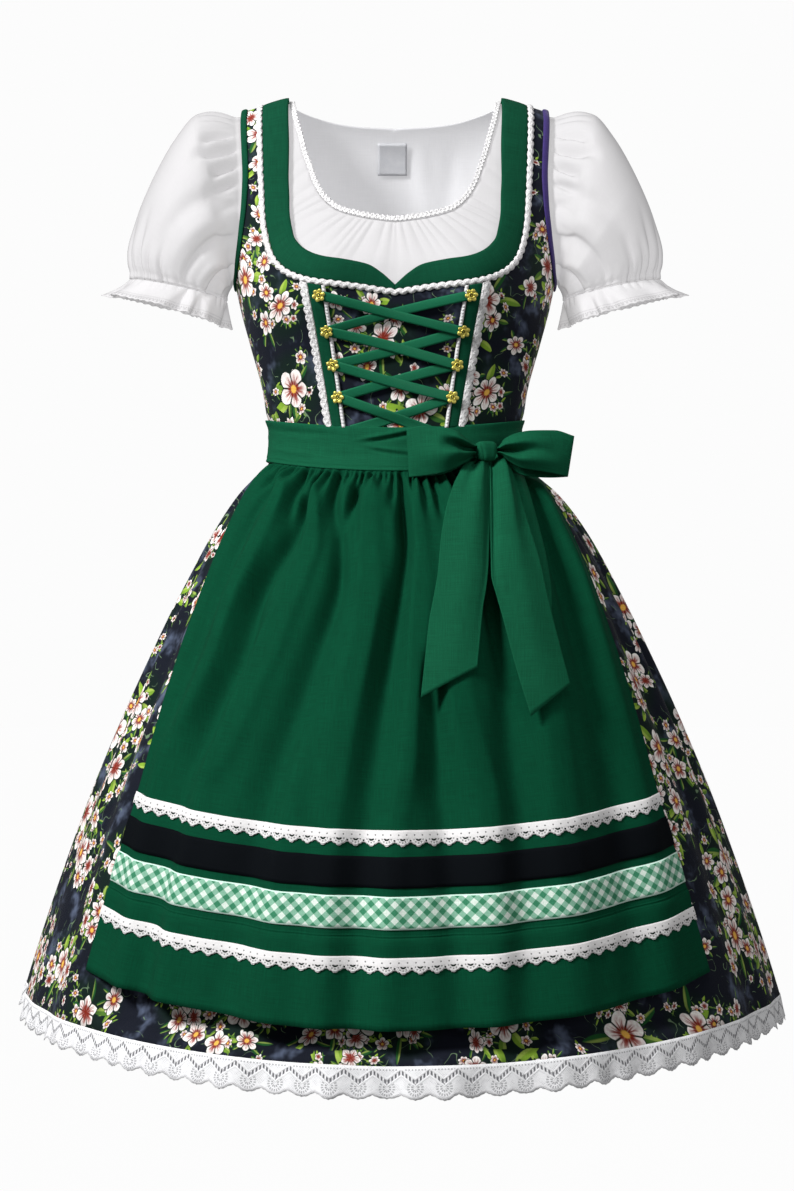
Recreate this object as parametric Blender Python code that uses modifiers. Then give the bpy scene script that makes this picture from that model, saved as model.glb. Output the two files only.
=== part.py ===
"""A dirndl with its apron and blouse, hollow and filled out as it is worn.

Every length in this file is in millimetres until a mesh is made. The garment hangs from its
shoulder line at z = 0, its front faces -Y and +X is at the right of someone who looks at the front.
"""

import math

import bpy
import numpy as np
from mathutils import Vector

MM = 0.001

GAP = 0.3  # between pieces at a seam
SEAM_STEP = 0.35  # each side's step back from a seam on a curve, where the walls lean together
DRESS_WALL = 1.2
BLOUSE_WALL = 1.0
TRIM_WALL = 1.0
RIBBON_WALL = 1.0
SASH_WALL = 1.4

NAVY_PRINT = (0.012, 0.016, 0.028)
GREEN = (0.008, 0.105, 0.045)
PURPLE = (0.070, 0.045, 0.195)
WHITE = (0.83, 0.84, 0.85)
LACE = (0.80, 0.79, 0.77)
BLACK = (0.004, 0.006, 0.010)
GINGHAM = (0.22, 0.52, 0.35)
GOLD = (0.62, 0.46, 0.10)
GREY = (0.50, 0.51, 0.54)


def table(columns, *rows):
    """A table as one array for each named column."""
    return dict(zip(columns.split(), np.array(rows, float).T))


# --- the worn form: rings from the shoulder line down to the hem -------------------------------

FORM = table(
    "level half_width front back fullness off_middle",
    (2.0, 190, 0.7, 0.7, 0.15, 0),
    (1.6, 190, 6, 6, 0.15, 0),
    (-2, 190, 15, 15, 0.15, 0),
    (-10, 190, 29, 31, 0.15, 0),
    (-25, 190, 42, 48, 0.15, 0),
    (-50, 190, 56, 66, 0.15, 0),
    (-85, 190, 70, 82, 0.15, 0),
    (-118, 186, 82, 92, 0.15, 0),
    (-156, 177, 96, 98, 0.15, 0),
    (-192, 170, 106, 98, 0.15, 0),
    (-225, 163, 107, 95, 0.15, 0),
    (-262, 153, 102, 91, 0.15, 0),
    (-310, 140, 97, 87, 0.15, 0),
    (-335, 136, 96, 86, 0.15, 0),
    (-350, 130.5, 96.2, 86.2, 0.15, 0),
    (-366, 130, 98, 88, 0.14, 0),
    (-384, 134, 104, 94, 0.12, 0),
    (-400, 152, 118, 108, 0.08, 1.5),
    (-418, 171, 132, 122, 0.05, 3.5),
    (-460, 201, 157, 148, 0.0, 5.5),
    (-514, 231, 185, 176, 0.0, 5.8),
    (-565, 257, 209, 201, -0.02, 5.8),
    (-631, 287, 236, 228, -0.04, 5.8),
    (-695, 312.5, 259, 252, -0.06, 5.8),
    (-763, 338, 282, 276, -0.08, 5.8),
    (-872, 376, 313, 308, -0.10, 5.8),
    (-947, 399.5, 332, 328, -0.12, 5.8),
    (-975, 407, 338, 334, -0.12, 5.8),
)
BUST_HEIGHT, BUST_X, BUST_WIDTH, BUST_LEVEL, BUST_REACH = 16, 82, 48, -205, 52
SHOULDER_START_X, SHOULDER_SLOPE, SHOULDER_FADE = 112, 0.3, 110
WAIST_DIP_FRONT, WAIST_DIP_BACK, DIP_START, DIP_FULL = 15, 6, -250, -340
HEM_LIFT, LIFT_START, LIFT_FULL = 9, -500, -950  # the hem rises a little at the sides
SHOULDER_TOP, SHOULDER_ROUND = 2.0, 4.0


def curve(places, values, at):
    """Reads values between their places along a smooth curve that never overshoots them."""
    order = np.argsort(places)
    places, values = places[order], values[order]
    steps = np.diff(places)
    slopes = np.diff(values) / steps
    both = slopes[1:] * slopes[:-1]
    middle = np.where(both > 0, 2 * both / (slopes[1:] + slopes[:-1] + 1e-12), 0)
    tangents = np.concatenate([slopes[:1], middle, slopes[-1:]])
    at = np.clip(at, places[0], places[-1])
    k = np.clip(np.searchsorted(places, at) - 1, 0, len(steps) - 1)
    t = (at - places[k]) / steps[k]
    rise = values[k] * (1 + 2 * t) + steps[k] * tangents[k] * t
    fall = values[k + 1] * (3 - 2 * t) + steps[k] * tangents[k + 1] * (t - 1)
    return rise * (1 - t) ** 2 + fall * t**2


def half_width(level):
    return curve(FORM["level"], FORM["half_width"], level)


def off_middle(level):
    """How far the skirt hangs to one side of the middle."""
    return curve(FORM["level"], FORM["off_middle"], level)


def on_form(angle, level):
    """Points of the form at an angle round it (0 at the front, pi/2 at +X) and a ring's level."""
    front, back, fullness = (
        curve(FORM["level"], FORM[name], level) for name in ("front", "back", "fullness")
    )
    sine, cosine = np.sin(angle), np.cos(angle)
    x = half_width(level) * sine + off_middle(level)
    y = -np.where(cosine > 0, front, back) * cosine * (1 + fullness * sine**2)
    bust = np.exp(-(((np.abs(x) - BUST_X) / BUST_WIDTH) ** 2) - ((level - BUST_LEVEL) / BUST_REACH) ** 2)
    y = y - BUST_HEIGHT * bust * np.clip(cosine * 4, 0, 1)
    drop = SHOULDER_SLOPE * np.clip(np.abs(x) - SHOULDER_START_X, 0, None)
    drop = drop * np.clip(1 + level / SHOULDER_FADE, 0, 1)
    middle = np.abs(cosine) ** 1.5  # 1 at the centre front and back, 0 at the sides
    dip = np.where(cosine > 0, WAIST_DIP_FRONT, WAIST_DIP_BACK) * middle
    dip = dip * np.clip((DIP_START - level) / (DIP_START - DIP_FULL), 0, 1)
    lift = HEM_LIFT * (1 - middle) * np.clip((LIFT_START - level) / (LIFT_START - LIFT_FULL), 0, 1)
    return np.stack(np.broadcast_arrays(x, y, level - drop - dip + lift), -1)


def lifted(angle, level, out=0.0):
    """Points of the form moved out along its normal."""
    angle, level, out = np.broadcast_arrays(*(np.asarray(value, float) for value in (angle, level, out)))
    round_it = on_form(angle + 0.01, level) - on_form(angle - 0.01, level)
    down = on_form(angle, level - 1) - on_form(angle, level + 1)
    normal = np.cross(down, round_it)
    # The normal stands straight up on the shoulder line.
    normal[..., 1] *= np.clip((SHOULDER_TOP - level) / SHOULDER_ROUND, 0, 1)
    normal /= np.linalg.norm(normal, axis=-1, keepdims=True)
    return on_form(angle, level) + normal * out[..., None]


def angle_of(x, level, behind=False):
    """The angle round the form where it is x wide at a level."""
    level = np.asarray(level, float)
    angle = np.arcsin(np.clip((np.asarray(x) - off_middle(level)) / half_width(level), -1, 1))
    return np.pi - angle if behind else angle


# --- lines on the form, as (x, level) from the shoulder towards the centre or the side ---------

ARMHOLE = table(
    "x level",
    (162, 2.0),
    (162, 1.6),
    (162, -2),
    (162, -10),
    (161.5, -25),
    (160, -52),
    (158.5, -85),
    (159.5, -118),
    (162.5, -148),
    (166, -174),
    (167.5, -187),
    (168.6, -197),
)
NECK_FRONT = table(
    "inner_x inner_level outer_x outer_level",
    (112.5, 2.0, 140, 2.0),
    (112.5, 1.6, 140, 1.6),
    (112, -2, 140, -2),
    (112, -10, 140, -10),
    (111.5, -25, 139.5, -25),
    (110, -62, 138, -62),
    (109.3, -107, 136, -105),
    (108, -135, 133.5, -140),
    (104, -155, 126, -172),
    (97, -166.5, 115, -188),
    (86, -175, 99, -198),
    (72, -180, 81, -203.5),
    (52, -183, 58, -206.5),
    (28, -188, 32, -209.5),
    (14.5, -196, 15, -212),
    (0, -208.7, 0, -214),
)
NECK_SEAM_ROW = 11  # the row where the centre front meets the side front
NECK_BACK = table(
    "inner_x inner_level outer_x outer_level",
    (112.5, 2.0, 140, 2.0),
    (112.5, 1.6, 140, 1.6),
    (112, -2, 140, -2),
    (110, -10, 139.5, -12),
    (107.5, -15.5, 137.5, -21),
    (104, -22, 134, -32),
    (88, -40, 114, -60),
    (60, -52, 78, -78),
    (30, -58, 40, -86),
    (0, -60, 0, -88),
)
ARMHOLE_STRAP_ROWS = 5  # the rows where the armhole runs down the shoulder strap
BODICE_HEM = -365
SIDE_LEVELS = (-230, -264, -298, -332, BODICE_HEM)
FRONT_SEAM = table("x level", (77, -232), (71.5, -264), (66, -298), (61, -332), (58.5, BODICE_HEM))
BACK_CENTRE_LEVELS = (-115, -148, -188, -230, -276, -322, BODICE_HEM)
BINDING_WIDTH = 5
NECK_LACE_WIDTH, NECK_LACE_LIFT = 6, 0.8 + TRIM_WALL


def moved_aside(x, level, distance):
    """A line moved sideways by a distance, to the right of its way from the shoulder down."""
    along = np.stack([np.gradient(x), np.gradient(level)], -1)
    along /= np.linalg.norm(along, axis=-1, keepdims=True) + 1e-9
    return x + along[:, 1] * distance, level - along[:, 0] * distance


def armhole_line(aside):
    """The armhole from the shoulder to the underarm, moved into the panel."""
    x, level = ARMHOLE["x"].copy(), ARMHOLE["level"].copy()
    x[:ARMHOLE_STRAP_ROWS] -= aside
    towards = np.linspace(0, math.pi / 2, len(x) - ARMHOLE_STRAP_ROWS)
    x[ARMHOLE_STRAP_ROWS:] -= aside * np.cos(towards)
    level[ARMHOLE_STRAP_ROWS:] -= aside * np.sin(towards) ** 2
    return x, level


def neck_line(line, aside):
    """The outer edge of a neckline band, moved away from it."""
    x, level = line["outer_x"].copy(), line["outer_level"].copy()
    steps_x, steps_level = np.gradient(x), np.gradient(level)
    length = np.hypot(steps_x, steps_level)
    x = x - steps_level / length * aside
    level = level + steps_x / length * aside
    x[line["outer_x"] == 0] = 0
    level[:3] = line["outer_level"][:3]
    return x, level


def side_angle(level, behind=False, gap=GAP):
    """The side seam, a little before or behind the widest place, as the walls lean towards each other."""
    half_gap = gap / curve(FORM["level"], FORM["back" if behind else "front"], np.asarray(level, float))
    return np.pi / 2 + half_gap if behind else np.pi / 2 - half_gap


def across(start, end, shares):
    """A grid of (angle, level) between two lines of the same number of points."""
    shares = np.asarray(shares)[None, :]
    angle = start[0][:, None] * (1 - shares) + end[0][:, None] * shares
    level = start[1][:, None] * (1 - shares) + end[1][:, None] * shares
    return angle, level


# --- meshes -------------------------------------------------------------------------------------


def new_collection(name):
    collection = bpy.data.collections.new(name)
    bpy.context.scene.collection.children.link(collection)
    return collection


def finish_of(name, colour, roughness=0.85, metallic=0.0):
    material = bpy.data.materials.new(name)
    material.use_nodes = True
    shader = material.node_tree.nodes["Principled BSDF"]
    shader.inputs["Base Color"].default_value = (*colour, 1)
    shader.inputs["Roughness"].default_value = roughness
    shader.inputs["Metallic"].default_value = metallic
    material.diffuse_color = (*colour, 1)
    return material


def sheet(name, grid, wall, colour, closed=False, mirrored=False):
    """One piece of cloth. Rows of the grid run down and its columns run round towards +X, so that
    it faces out, and its wall lies behind it."""
    rows, columns = grid.shape[:2]
    steps = columns if closed else columns - 1
    faces = []
    for row in range(0, (rows - 1) * columns, columns):
        for column in range(steps):
            next_column = (column + 1) % columns
            below = row + columns
            faces.append((row + column, below + column, below + next_column, row + next_column))
    mesh = bpy.data.meshes.new(name)
    mesh.from_pydata((grid.reshape(-1, 3) * MM).tolist(), [], faces)
    mesh.shade_smooth()
    piece = bpy.data.objects.new(name, mesh)
    DIRNDL.objects.link(piece)
    if mirrored:
        mirror = piece.modifiers.new("Other half", "MIRROR")
        mirror.use_clip = True
        mirror.merge_threshold = 0.00005
    solid = piece.modifiers.new("Wall", "SOLIDIFY")
    solid.thickness = wall * MM
    solid.offset = -1
    mesh.materials.append(finish_of(name, colour))
    return piece


def pair(name, grid, wall, colour, left_colour=None):
    """A piece on the +X side and its mirror image on the -X side."""
    sheet(name + "_right", grid, wall, colour)
    other = grid[:, ::-1] * (-1, 1, 1)
    sheet(name + "_left", other, wall, left_colour or colour)


# --- bodice -------------------------------------------------------------------------------------


def front_boundaries():
    """The side front's edges as (angle, level): along neckline and seam, and along armhole and side."""
    last = NECK_SEAM_ROW + 1
    neck_x, neck_level = neck_line(NECK_FRONT, GAP)
    x = np.concatenate([neck_x[:last], FRONT_SEAM["x"]])
    level = np.concatenate([neck_level[:last], FRONT_SEAM["level"]])
    x[NECK_SEAM_ROW:] += SEAM_STEP
    inner = (angle_of(x, level), level)
    arm_x, arm_level = armhole_line(BINDING_WIDTH + GAP)
    side_levels = np.array(SIDE_LEVELS, float)
    outer_angle = angle_of(arm_x, arm_level)
    outer_angle[-1] = side_angle(arm_level[-1])
    outer_angle = np.concatenate([outer_angle, side_angle(side_levels)])
    return inner, (outer_angle, np.concatenate([arm_level, side_levels]))


def make_bodice():
    inner, outer = front_boundaries()
    angle, level = across(inner, outer, np.linspace(0, 1, 6))
    pair("bodice_side_front", lifted(angle, level), DRESS_WALL, NAVY_PRINT)

    neck_x, neck_level = neck_line(NECK_FRONT, GAP)
    top_x, top_level = neck_x[NECK_SEAM_ROW:], neck_level[NECK_SEAM_ROW:]
    top_x, top_level = np.append(-top_x[:-1], top_x[::-1]), np.append(top_level[:-1], top_level[::-1])
    seam_x = np.append(neck_x[NECK_SEAM_ROW], FRONT_SEAM["x"])
    seam_level = np.append(neck_level[NECK_SEAM_ROW], FRONT_SEAM["level"])
    down = (seam_level[0] - seam_level) / (seam_level[0] - BODICE_HEM)
    level = top_level[None, :] + (BODICE_HEM - top_level[None, :]) * down[:, None]
    x = top_x[None, :] / top_x.max() * (seam_x - SEAM_STEP)[:, None]
    sheet("bodice_centre_front", lifted(angle_of(x, level), level), DRESS_WALL, NAVY_PRINT)

    neck_x, neck_level = neck_line(NECK_BACK, GAP)
    centre = np.array(BACK_CENTRE_LEVELS, float)
    inner_x = np.append(neck_x, np.zeros(len(centre)))
    inner_level = np.append(neck_level, centre)
    inner = (angle_of(inner_x, inner_level, True), inner_level)
    arm_x, arm_level = armhole_line(BINDING_WIDTH + GAP)
    side_levels = np.array(SIDE_LEVELS, float)
    outer_angle = angle_of(arm_x, arm_level, True)
    outer_angle[-1] = side_angle(arm_level[-1], True)
    outer = (
        np.concatenate([outer_angle, side_angle(side_levels, True)]),
        np.concatenate([arm_level, side_levels]),
    )
    angle, level = across(outer, inner, np.linspace(0, 1, 8))
    sheet("bodice_back", lifted(angle, level), DRESS_WALL, NAVY_PRINT, mirrored=True)


def make_neckline():
    shares = (0, 0.5, 1)
    x, level = NECK_FRONT["inner_x"].copy(), NECK_FRONT["inner_level"]
    outer_x = NECK_FRONT["outer_x"].copy()
    x[-1] = outer_x[-1] = GAP / 2
    inner = (angle_of(x, level), level)
    outer = (angle_of(outer_x, NECK_FRONT["outer_level"]), NECK_FRONT["outer_level"])
    pair("neckline_band", lifted(*across(inner, outer, shares)), DRESS_WALL, GREEN)
    inner = (angle_of(NECK_BACK["inner_x"], NECK_BACK["inner_level"], True), NECK_BACK["inner_level"])
    outer = (angle_of(NECK_BACK["outer_x"], NECK_BACK["outer_level"], True), NECK_BACK["outer_level"])
    sheet("neckline_band_back", lifted(*across(outer, inner, shares)), DRESS_WALL, GREEN, mirrored=True)

    near_x, near_level = neck_line(NECK_FRONT, GAP)
    far_x, far_level = neck_line(NECK_FRONT, GAP + NECK_LACE_WIDTH)
    near = (angle_of(near_x, near_level), near_level)
    far = (angle_of(far_x, far_level), far_level)
    grid = lifted(*across(near, far, (0, 1)), NECK_LACE_LIFT)
    sheet("neckline_lace", grid, TRIM_WALL, LACE, mirrored=True)


def make_armhole_bindings():
    """A closed strip round each armhole, from its free edge to the panels."""
    loops = []
    for aside in (0, BINDING_WIDTH):
        x, level = armhole_line(aside)
        front, back = angle_of(x, level), angle_of(x, level, True)
        front[-1] = np.pi / 2
        angles = np.concatenate([front[1:], back[-2:0:-1]])
        levels = np.concatenate([level[1:], level[-2:0:-1]])
        loops.append(lifted(angles, levels))
    grid = np.array(loops)
    sheet("armhole_binding_right", grid[:, ::-1], DRESS_WALL, PURPLE, closed=True)
    sheet("armhole_binding_left", grid * (-1, 1, 1), DRESS_WALL, GREEN, closed=True)


# --- plackets, hooks and lacing -----------------------------------------------------------------

PLACKET_FOOT = -338.4
PLACKET_EDGES = table(
    "level lace_edge outer inner piping_edge",
    (-209, 96, 88, 75, 71),
    (-350, 69.5, 62, 52.5, 48.5),
)
LACE_FOOT_OF_NECK = 7.2  # below the neckline band
PLACKET_LIFT, STRAND_LIFT_LOW, STRAND_LIFT_HIGH, HOOK_LIFT = 1.4 + TRIM_WALL, 4.8, 6.6, 7.0
HOOKS = table("x level", (76, -220), (68.5, -254), (62, -284), (57, -313))
STRAND_WIDTH = 9
STRAND_ENDS_X = (-39, 29)  # where the last crossing goes under the waistband
HOOK_RADIUS, HOOK_TOP_RADIUS, HOOK_HEIGHT, HOOK_SIDES = 6.5, 4.2, 2.8, 12


def neck_foot(x):
    """The level just under the neckline lace at a distance from the middle."""
    line_x, line_level = neck_line(NECK_FRONT, LACE_FOOT_OF_NECK)
    return np.interp(x, line_x[::-1], line_level[::-1])


def upright_strip(name, near, far, lift, colour, rows=6):
    """A strip down the front between two columns of PLACKET_EDGES, on both sides."""
    share = np.linspace(0, 1, rows)
    edges = []
    for column in (near, far):
        top = neck_foot(PLACKET_EDGES[column][0])
        level = top + (PLACKET_FOOT - top) * share
        x = np.interp(-level, -PLACKET_EDGES["level"], PLACKET_EDGES[column])
        edges.append((angle_of(x, level), level))
    pair(name, lifted(*across(edges[0], edges[1], (0, 1)), lift), TRIM_WALL, colour)


def make_plackets():
    step = GAP / 2
    PLACKET_EDGES["outer_lace"] = PLACKET_EDGES["outer"] + step
    PLACKET_EDGES["outer_cloth"] = PLACKET_EDGES["outer"] - step
    PLACKET_EDGES["inner_cloth"] = PLACKET_EDGES["inner"] + step
    PLACKET_EDGES["inner_piping"] = PLACKET_EDGES["inner"] - step
    upright_strip("placket", "inner_cloth", "outer_cloth", PLACKET_LIFT, GREEN)
    upright_strip("placket_lace", "outer_lace", "lace_edge", PLACKET_LIFT, LACE)
    upright_strip("placket_piping", "piping_edge", "inner_piping", PLACKET_LIFT, LACE)


def strand(name, start, end, lift):
    """One flat stretch of the lacing ribbon between two places (x, level) on the front."""
    steps = 6
    way = np.array(end, float) - np.array(start, float)
    side = np.array((way[1], -way[0])) / np.hypot(*way) * STRAND_WIDTH / 2
    if side[1] < 0:
        side = -side
    points = np.array(start, float) + np.linspace(0, 1, steps)[:, None] * way
    if way[0] < 0:
        points = points[::-1]
    rows = [points + side, points - side]
    grid = np.array([lifted(angle_of(row[:, 0], row[:, 1]), row[:, 1], lift) for row in rows])
    sheet(name, grid, RIBBON_WALL, GREEN)


def make_lacing():
    count = len(HOOKS["x"])
    left = [(-x, level) for x, level in zip(HOOKS["x"], HOOKS["level"])]
    right = [(x, level) for x, level in zip(HOOKS["x"], HOOKS["level"])]
    foot = PLACKET_FOOT + STRAND_WIDTH / 2 + 1.5
    left.append((STRAND_ENDS_X[0], foot))
    right.append((STRAND_ENDS_X[1], foot))
    for row in range(count):
        strand(f"lacing_down_{row + 1}", left[row], right[row + 1], STRAND_LIFT_HIGH)
        strand(f"lacing_up_{row + 1}", left[row + 1], right[row], STRAND_LIFT_LOW)


def make_hooks():
    """Eight flower hooks that share one mesh, each with its back on the lacing."""
    bpy.ops.mesh.primitive_cone_add(
        vertices=HOOK_SIDES, radius1=HOOK_RADIUS * MM, radius2=HOOK_TOP_RADIUS * MM, depth=HOOK_HEIGHT * MM
    )
    first = bpy.context.object
    mesh = first.data
    mesh.materials.append(finish_of("hook_gold", GOLD, 0.3, 1.0))
    bpy.data.objects.remove(first)
    for side, name in ((-1, "left"), (1, "right")):
        for row, (x, level) in enumerate(zip(HOOKS["x"], HOOKS["level"])):
            angle = angle_of(side * x, level)
            base = lifted(angle, level, HOOK_LIFT)
            hook = bpy.data.objects.new(f"hook_{name}_{row + 1}", mesh)
            up = Vector((lifted(angle, level, HOOK_LIFT + 1) - base).tolist()).normalized()
            hook.rotation_euler = up.to_track_quat("Z", "Y").to_euler()
            hook.location = Vector((base * MM).tolist()) + up * HOOK_HEIGHT / 2 * MM
            DIRNDL.objects.link(hook)


# --- skirt and its lace -------------------------------------------------------------------------

SKIRT_COLUMNS, SKIRT_FOLDS = 84, 21
SKIRT_LEVELS = (BODICE_HEM - 0.6, -384, -402, -432, -500, -610, -770, -947)
SKIRT_DEPTH = table(
    "level gathers folds",
    (-365, 0, 0),
    (-384, 1.5, 0.5),
    (-425, 1.5, 4),
    (-550, 0, 8),
    (-975, 0, 8),
)
FOLD_WANDER = table("size waves start", (0.9, 3, 0.6), (0.5, 5, 2.0))
FOLD_UNEVEN = table("size waves start", (0.3, 4, 1.0))
HEM_LACE_FOOT = -972.5
SCALLOP = 2.0


def waves(rows, angle):
    """The sum of a table's waves at an angle round the garment."""
    return sum(
        size * np.sin(count * angle + start)
        for size, count, start in zip(rows["size"], rows["waves"], rows["start"])
    )


def skirt_points(angle, level):
    """The skirt with its folds, which all lie inside the form."""
    folds = curve(SKIRT_DEPTH["level"], SKIRT_DEPTH["folds"], level)
    gathers = curve(SKIRT_DEPTH["level"], SKIRT_DEPTH["gathers"], level)
    furrow = 0.5 + 0.5 * np.cos(SKIRT_FOLDS * angle + waves(FOLD_WANDER, angle))
    depth = folds * furrow * (1 - FOLD_UNEVEN["size"].sum() + waves(FOLD_UNEVEN, angle))
    depth = depth + gathers * (0.5 + 0.5 * np.cos(SKIRT_COLUMNS / 2 * angle))
    return lifted(angle, level, -depth)


def make_skirt():
    angles = np.arange(SKIRT_COLUMNS) * 2 * np.pi / SKIRT_COLUMNS
    angle, level = np.meshgrid(angles, np.array(SKIRT_LEVELS, float))
    sheet("skirt", skirt_points(angle, level), DRESS_WALL, NAVY_PRINT, closed=True)
    foot = HEM_LACE_FOOT + SCALLOP * (np.arange(SKIRT_COLUMNS) % 2)
    level = np.array([np.full(SKIRT_COLUMNS, SKIRT_LEVELS[-1] - GAP), foot])
    sheet("skirt_hem_lace", skirt_points(np.array([angles, angles]), level), TRIM_WALL, LACE, closed=True)


# --- apron --------------------------------------------------------------------------------------

APRON_COLUMNS, APRON_GATHERS = 48, 24
APRON_EDGES = table(
    "level angle rise",
    (-384, 68, 0),
    (-420, 64, 4),
    (-500, 59.5, 9),
    (-580, 56.5, 13),
    (-680, 54, 16),
    (-750, 53, 18),
    (-915, 53, 22),
)
APRON_LEVELS = (-384.6, -392, -404, -425, -460, -520, -600, -700, -800, -915)
APRON_DEPTH = table(
    "level gathers folds",
    (-384, 1.0, 0),
    (-392, 2.4, 0),
    (-425, 1.8, 2),
    (-470, 0, 5),
    (-600, 0, 6),
    (-915, 0, 4),
)
APRON_FOLDS = table(
    "place width height",
    (-0.86, 0.10, 0.8),
    (-0.60, 0.11, 0.9),
    (-0.22, 0.09, 1.0),
    (0.11, 0.08, 0.9),
    (0.37, 0.10, 0.8),
    (0.62, 0.10, 0.9),
    (0.86, 0.10, 0.8),
)
APRON_LIFT = 2.4 + DRESS_WALL
APRON_TRIM_LIFT = 1.1 + TRIM_WALL  # over the apron
APRON_TRIMS = table("top foot", (-735, -750), (-759, -787.5), (-795, -825), (-850, -865))
APRON_TRIM_FINISH = (
    ("apron_lace_upper", LACE),
    ("apron_ribbon_black", BLACK),
    ("apron_ribbon_gingham", GINGHAM),
    ("apron_lace_lower", LACE),
)


def apron_points(place, centre_level, lift=0.0):
    """The apron at a place from -1 to 1 across it, on the line that crosses its middle at a level."""
    folds = curve(APRON_DEPTH["level"], APRON_DEPTH["folds"], centre_level)
    gathers = curve(APRON_DEPTH["level"], APRON_DEPTH["gathers"], centre_level)
    humps = sum(
        height * np.exp(-(((place - middle) / width) ** 2))
        for middle, width, height in zip(APRON_FOLDS["place"], APRON_FOLDS["width"], APRON_FOLDS["height"])
    )
    out = APRON_LIFT + lift + folds * humps
    out = out + gathers * (0.5 + 0.5 * np.cos(np.pi * APRON_GATHERS * (place + 1)))
    angle = place * np.radians(curve(APRON_EDGES["level"], APRON_EDGES["angle"], centre_level))
    angle = angle - off_middle(centre_level) / half_width(centre_level)
    level = centre_level + curve(APRON_EDGES["level"], APRON_EDGES["rise"], centre_level) * place**2
    return lifted(angle, level, out)


def make_apron():
    places = np.linspace(-1, 1, APRON_COLUMNS + 1)
    place, level = np.meshgrid(places, np.array(APRON_LEVELS, float))
    sheet("apron", apron_points(place, level), DRESS_WALL, GREEN)
    for (name, colour), top, foot in zip(APRON_TRIM_FINISH, APRON_TRIMS["top"], APRON_TRIMS["foot"]):
        place, level = np.meshgrid(places, np.array((top, foot)))
        sheet(name, apron_points(place, level, APRON_TRIM_LIFT), TRIM_WALL, colour)


# --- waistband and bow --------------------------------------------------------------------------

WAISTBAND_LEVELS = (-339, -361, -384)
WAISTBAND_LIFT, WAISTBAND_COLUMNS = 1.6 + SASH_WALL, 40
KNOT_CENTRE = (94, -98, -378)
KNOT_SIZE = (25, 15, 22)
KNOT_TURN = 38  # degrees about the upright, so that it lies on the side front
LOOPS = table("way_x way_y reach bulge drop", (-0.95, -0.30, 80, 10, 1), (0.97, 0.06, 84, 12, 4))
LOOP_STEPS, LOOP_START, LOOP_HEIGHT_KNOT, LOOP_HEIGHT_END, LOOP_LEAN = 16, 8, 19, 51, 14
TAIL_CROWN = 1.5
TAIL_LEFT = table(
    "left_x left_z right_x right_z lift",
    (81, -394, 93, -394, 16),
    (72, -408, 91.5, -408, 15),
    (51.5, -460, 90, -460, 13),
    (45, -500, 88.5, -500, 12),
    (39.8, -530, 87, -530, 12),
    (36, -566, 83, -563, 12),
    (24.5, -632, 77, -605, 12),
)
TAIL_RIGHT = table(
    "left_x left_z right_x right_z lift",
    (95.5, -394, 106, -394, 18),
    (93, -440, 115, -440, 17),
    (91, -510, 134.5, -510, 16),
    (101, -572, 149, -568, 15),
    (113, -614, 161, -606, 14),
    (124, -656, 164, -622, 14),
)


def front_place(x, z, out):
    """The point of the front at x and z, moved out."""
    level = np.array(z, float)
    for _ in range(8):
        angle = angle_of(x, level)
        level = level + (z - on_form(angle, level)[..., 2])
    return lifted(angle, level, out)


def make_waistband():
    angles = np.arange(WAISTBAND_COLUMNS) * 2 * np.pi / WAISTBAND_COLUMNS
    angle, level = np.meshgrid(angles, np.array(WAISTBAND_LEVELS, float))
    sheet("apron_waistband", lifted(angle, level, WAISTBAND_LIFT), SASH_WALL, GREEN, closed=True)


def make_loop(name, way, reach, bulge, drop):
    """A loop of the sash from the knot out and back: a strip that widens away from the knot."""
    share = np.linspace(0.03, 0.97, LOOP_STEPS)
    out = np.sin(np.pi * share) ** 0.75
    front = np.sin(2 * np.pi * share) * np.sqrt(out)
    way = np.array((*way, 0.0)) / np.hypot(*way)
    facing = np.array((way[1], -way[0], 0.0))
    if facing[1] > 0:
        facing = -facing
    height = LOOP_HEIGHT_KNOT + (LOOP_HEIGHT_END - LOOP_HEIGHT_KNOT) * out**1.5
    rows = []
    for up in (0.5, 0.0, -0.5):
        crown = 1 + 0.25 * (1 - 4 * up * up)
        points = np.array(KNOT_CENTRE) + (LOOP_START + reach * out)[:, None] * way
        points = points + (bulge * crown * front)[:, None] * facing
        points[:, 1] -= LOOP_LEAN * (0.5 - up) * out
        points[:, 2] += up * height - drop * out
        rows.append(points)
    grid = np.array(rows)
    sheet(name, grid if way[0] < 0 else grid[:, ::-1], SASH_WALL, GREEN)


def make_tail(name, outline):
    shares = np.array((0, 0.33, 0.67, 1.0))[None, :]
    left = np.stack([outline["left_x"], outline["left_z"]], -1)[:, None, :]
    right = np.stack([outline["right_x"], outline["right_z"]], -1)[:, None, :]
    flat = left * (1 - shares[..., None]) + right * shares[..., None]
    out = outline["lift"][:, None] + TAIL_CROWN * np.sin(np.pi * shares)
    sheet(name, front_place(flat[..., 0], flat[..., 1], out), SASH_WALL, GREEN)


def make_bow():
    bpy.ops.mesh.primitive_cube_add(size=MM, location=[v * MM for v in KNOT_CENTRE])
    knot = bpy.context.object
    knot.name = knot.data.name = "bow_knot"
    for vertex in knot.data.vertices:
        vertex.co = [c * s for c, s in zip(vertex.co, KNOT_SIZE)]
    knot.rotation_euler.z = math.radians(KNOT_TURN)
    round_off = knot.modifiers.new("Soft corners", "SUBSURF")
    round_off.levels = round_off.render_levels = 2
    knot.data.materials.append(finish_of("bow_knot", GREEN))
    for collection in list(knot.users_collection):
        collection.objects.unlink(knot)
    DIRNDL.objects.link(knot)
    for index, side in enumerate(("left", "right")):
        way_x, way_y, reach, bulge, drop = (values[index] for values in LOOPS.values())
        make_loop(f"bow_loop_{side}", (way_x, way_y), reach, bulge, drop)
    make_tail("bow_tail_left", TAIL_LEFT)
    make_tail("bow_tail_right", TAIL_RIGHT)


# --- blouse -------------------------------------------------------------------------------------

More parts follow.
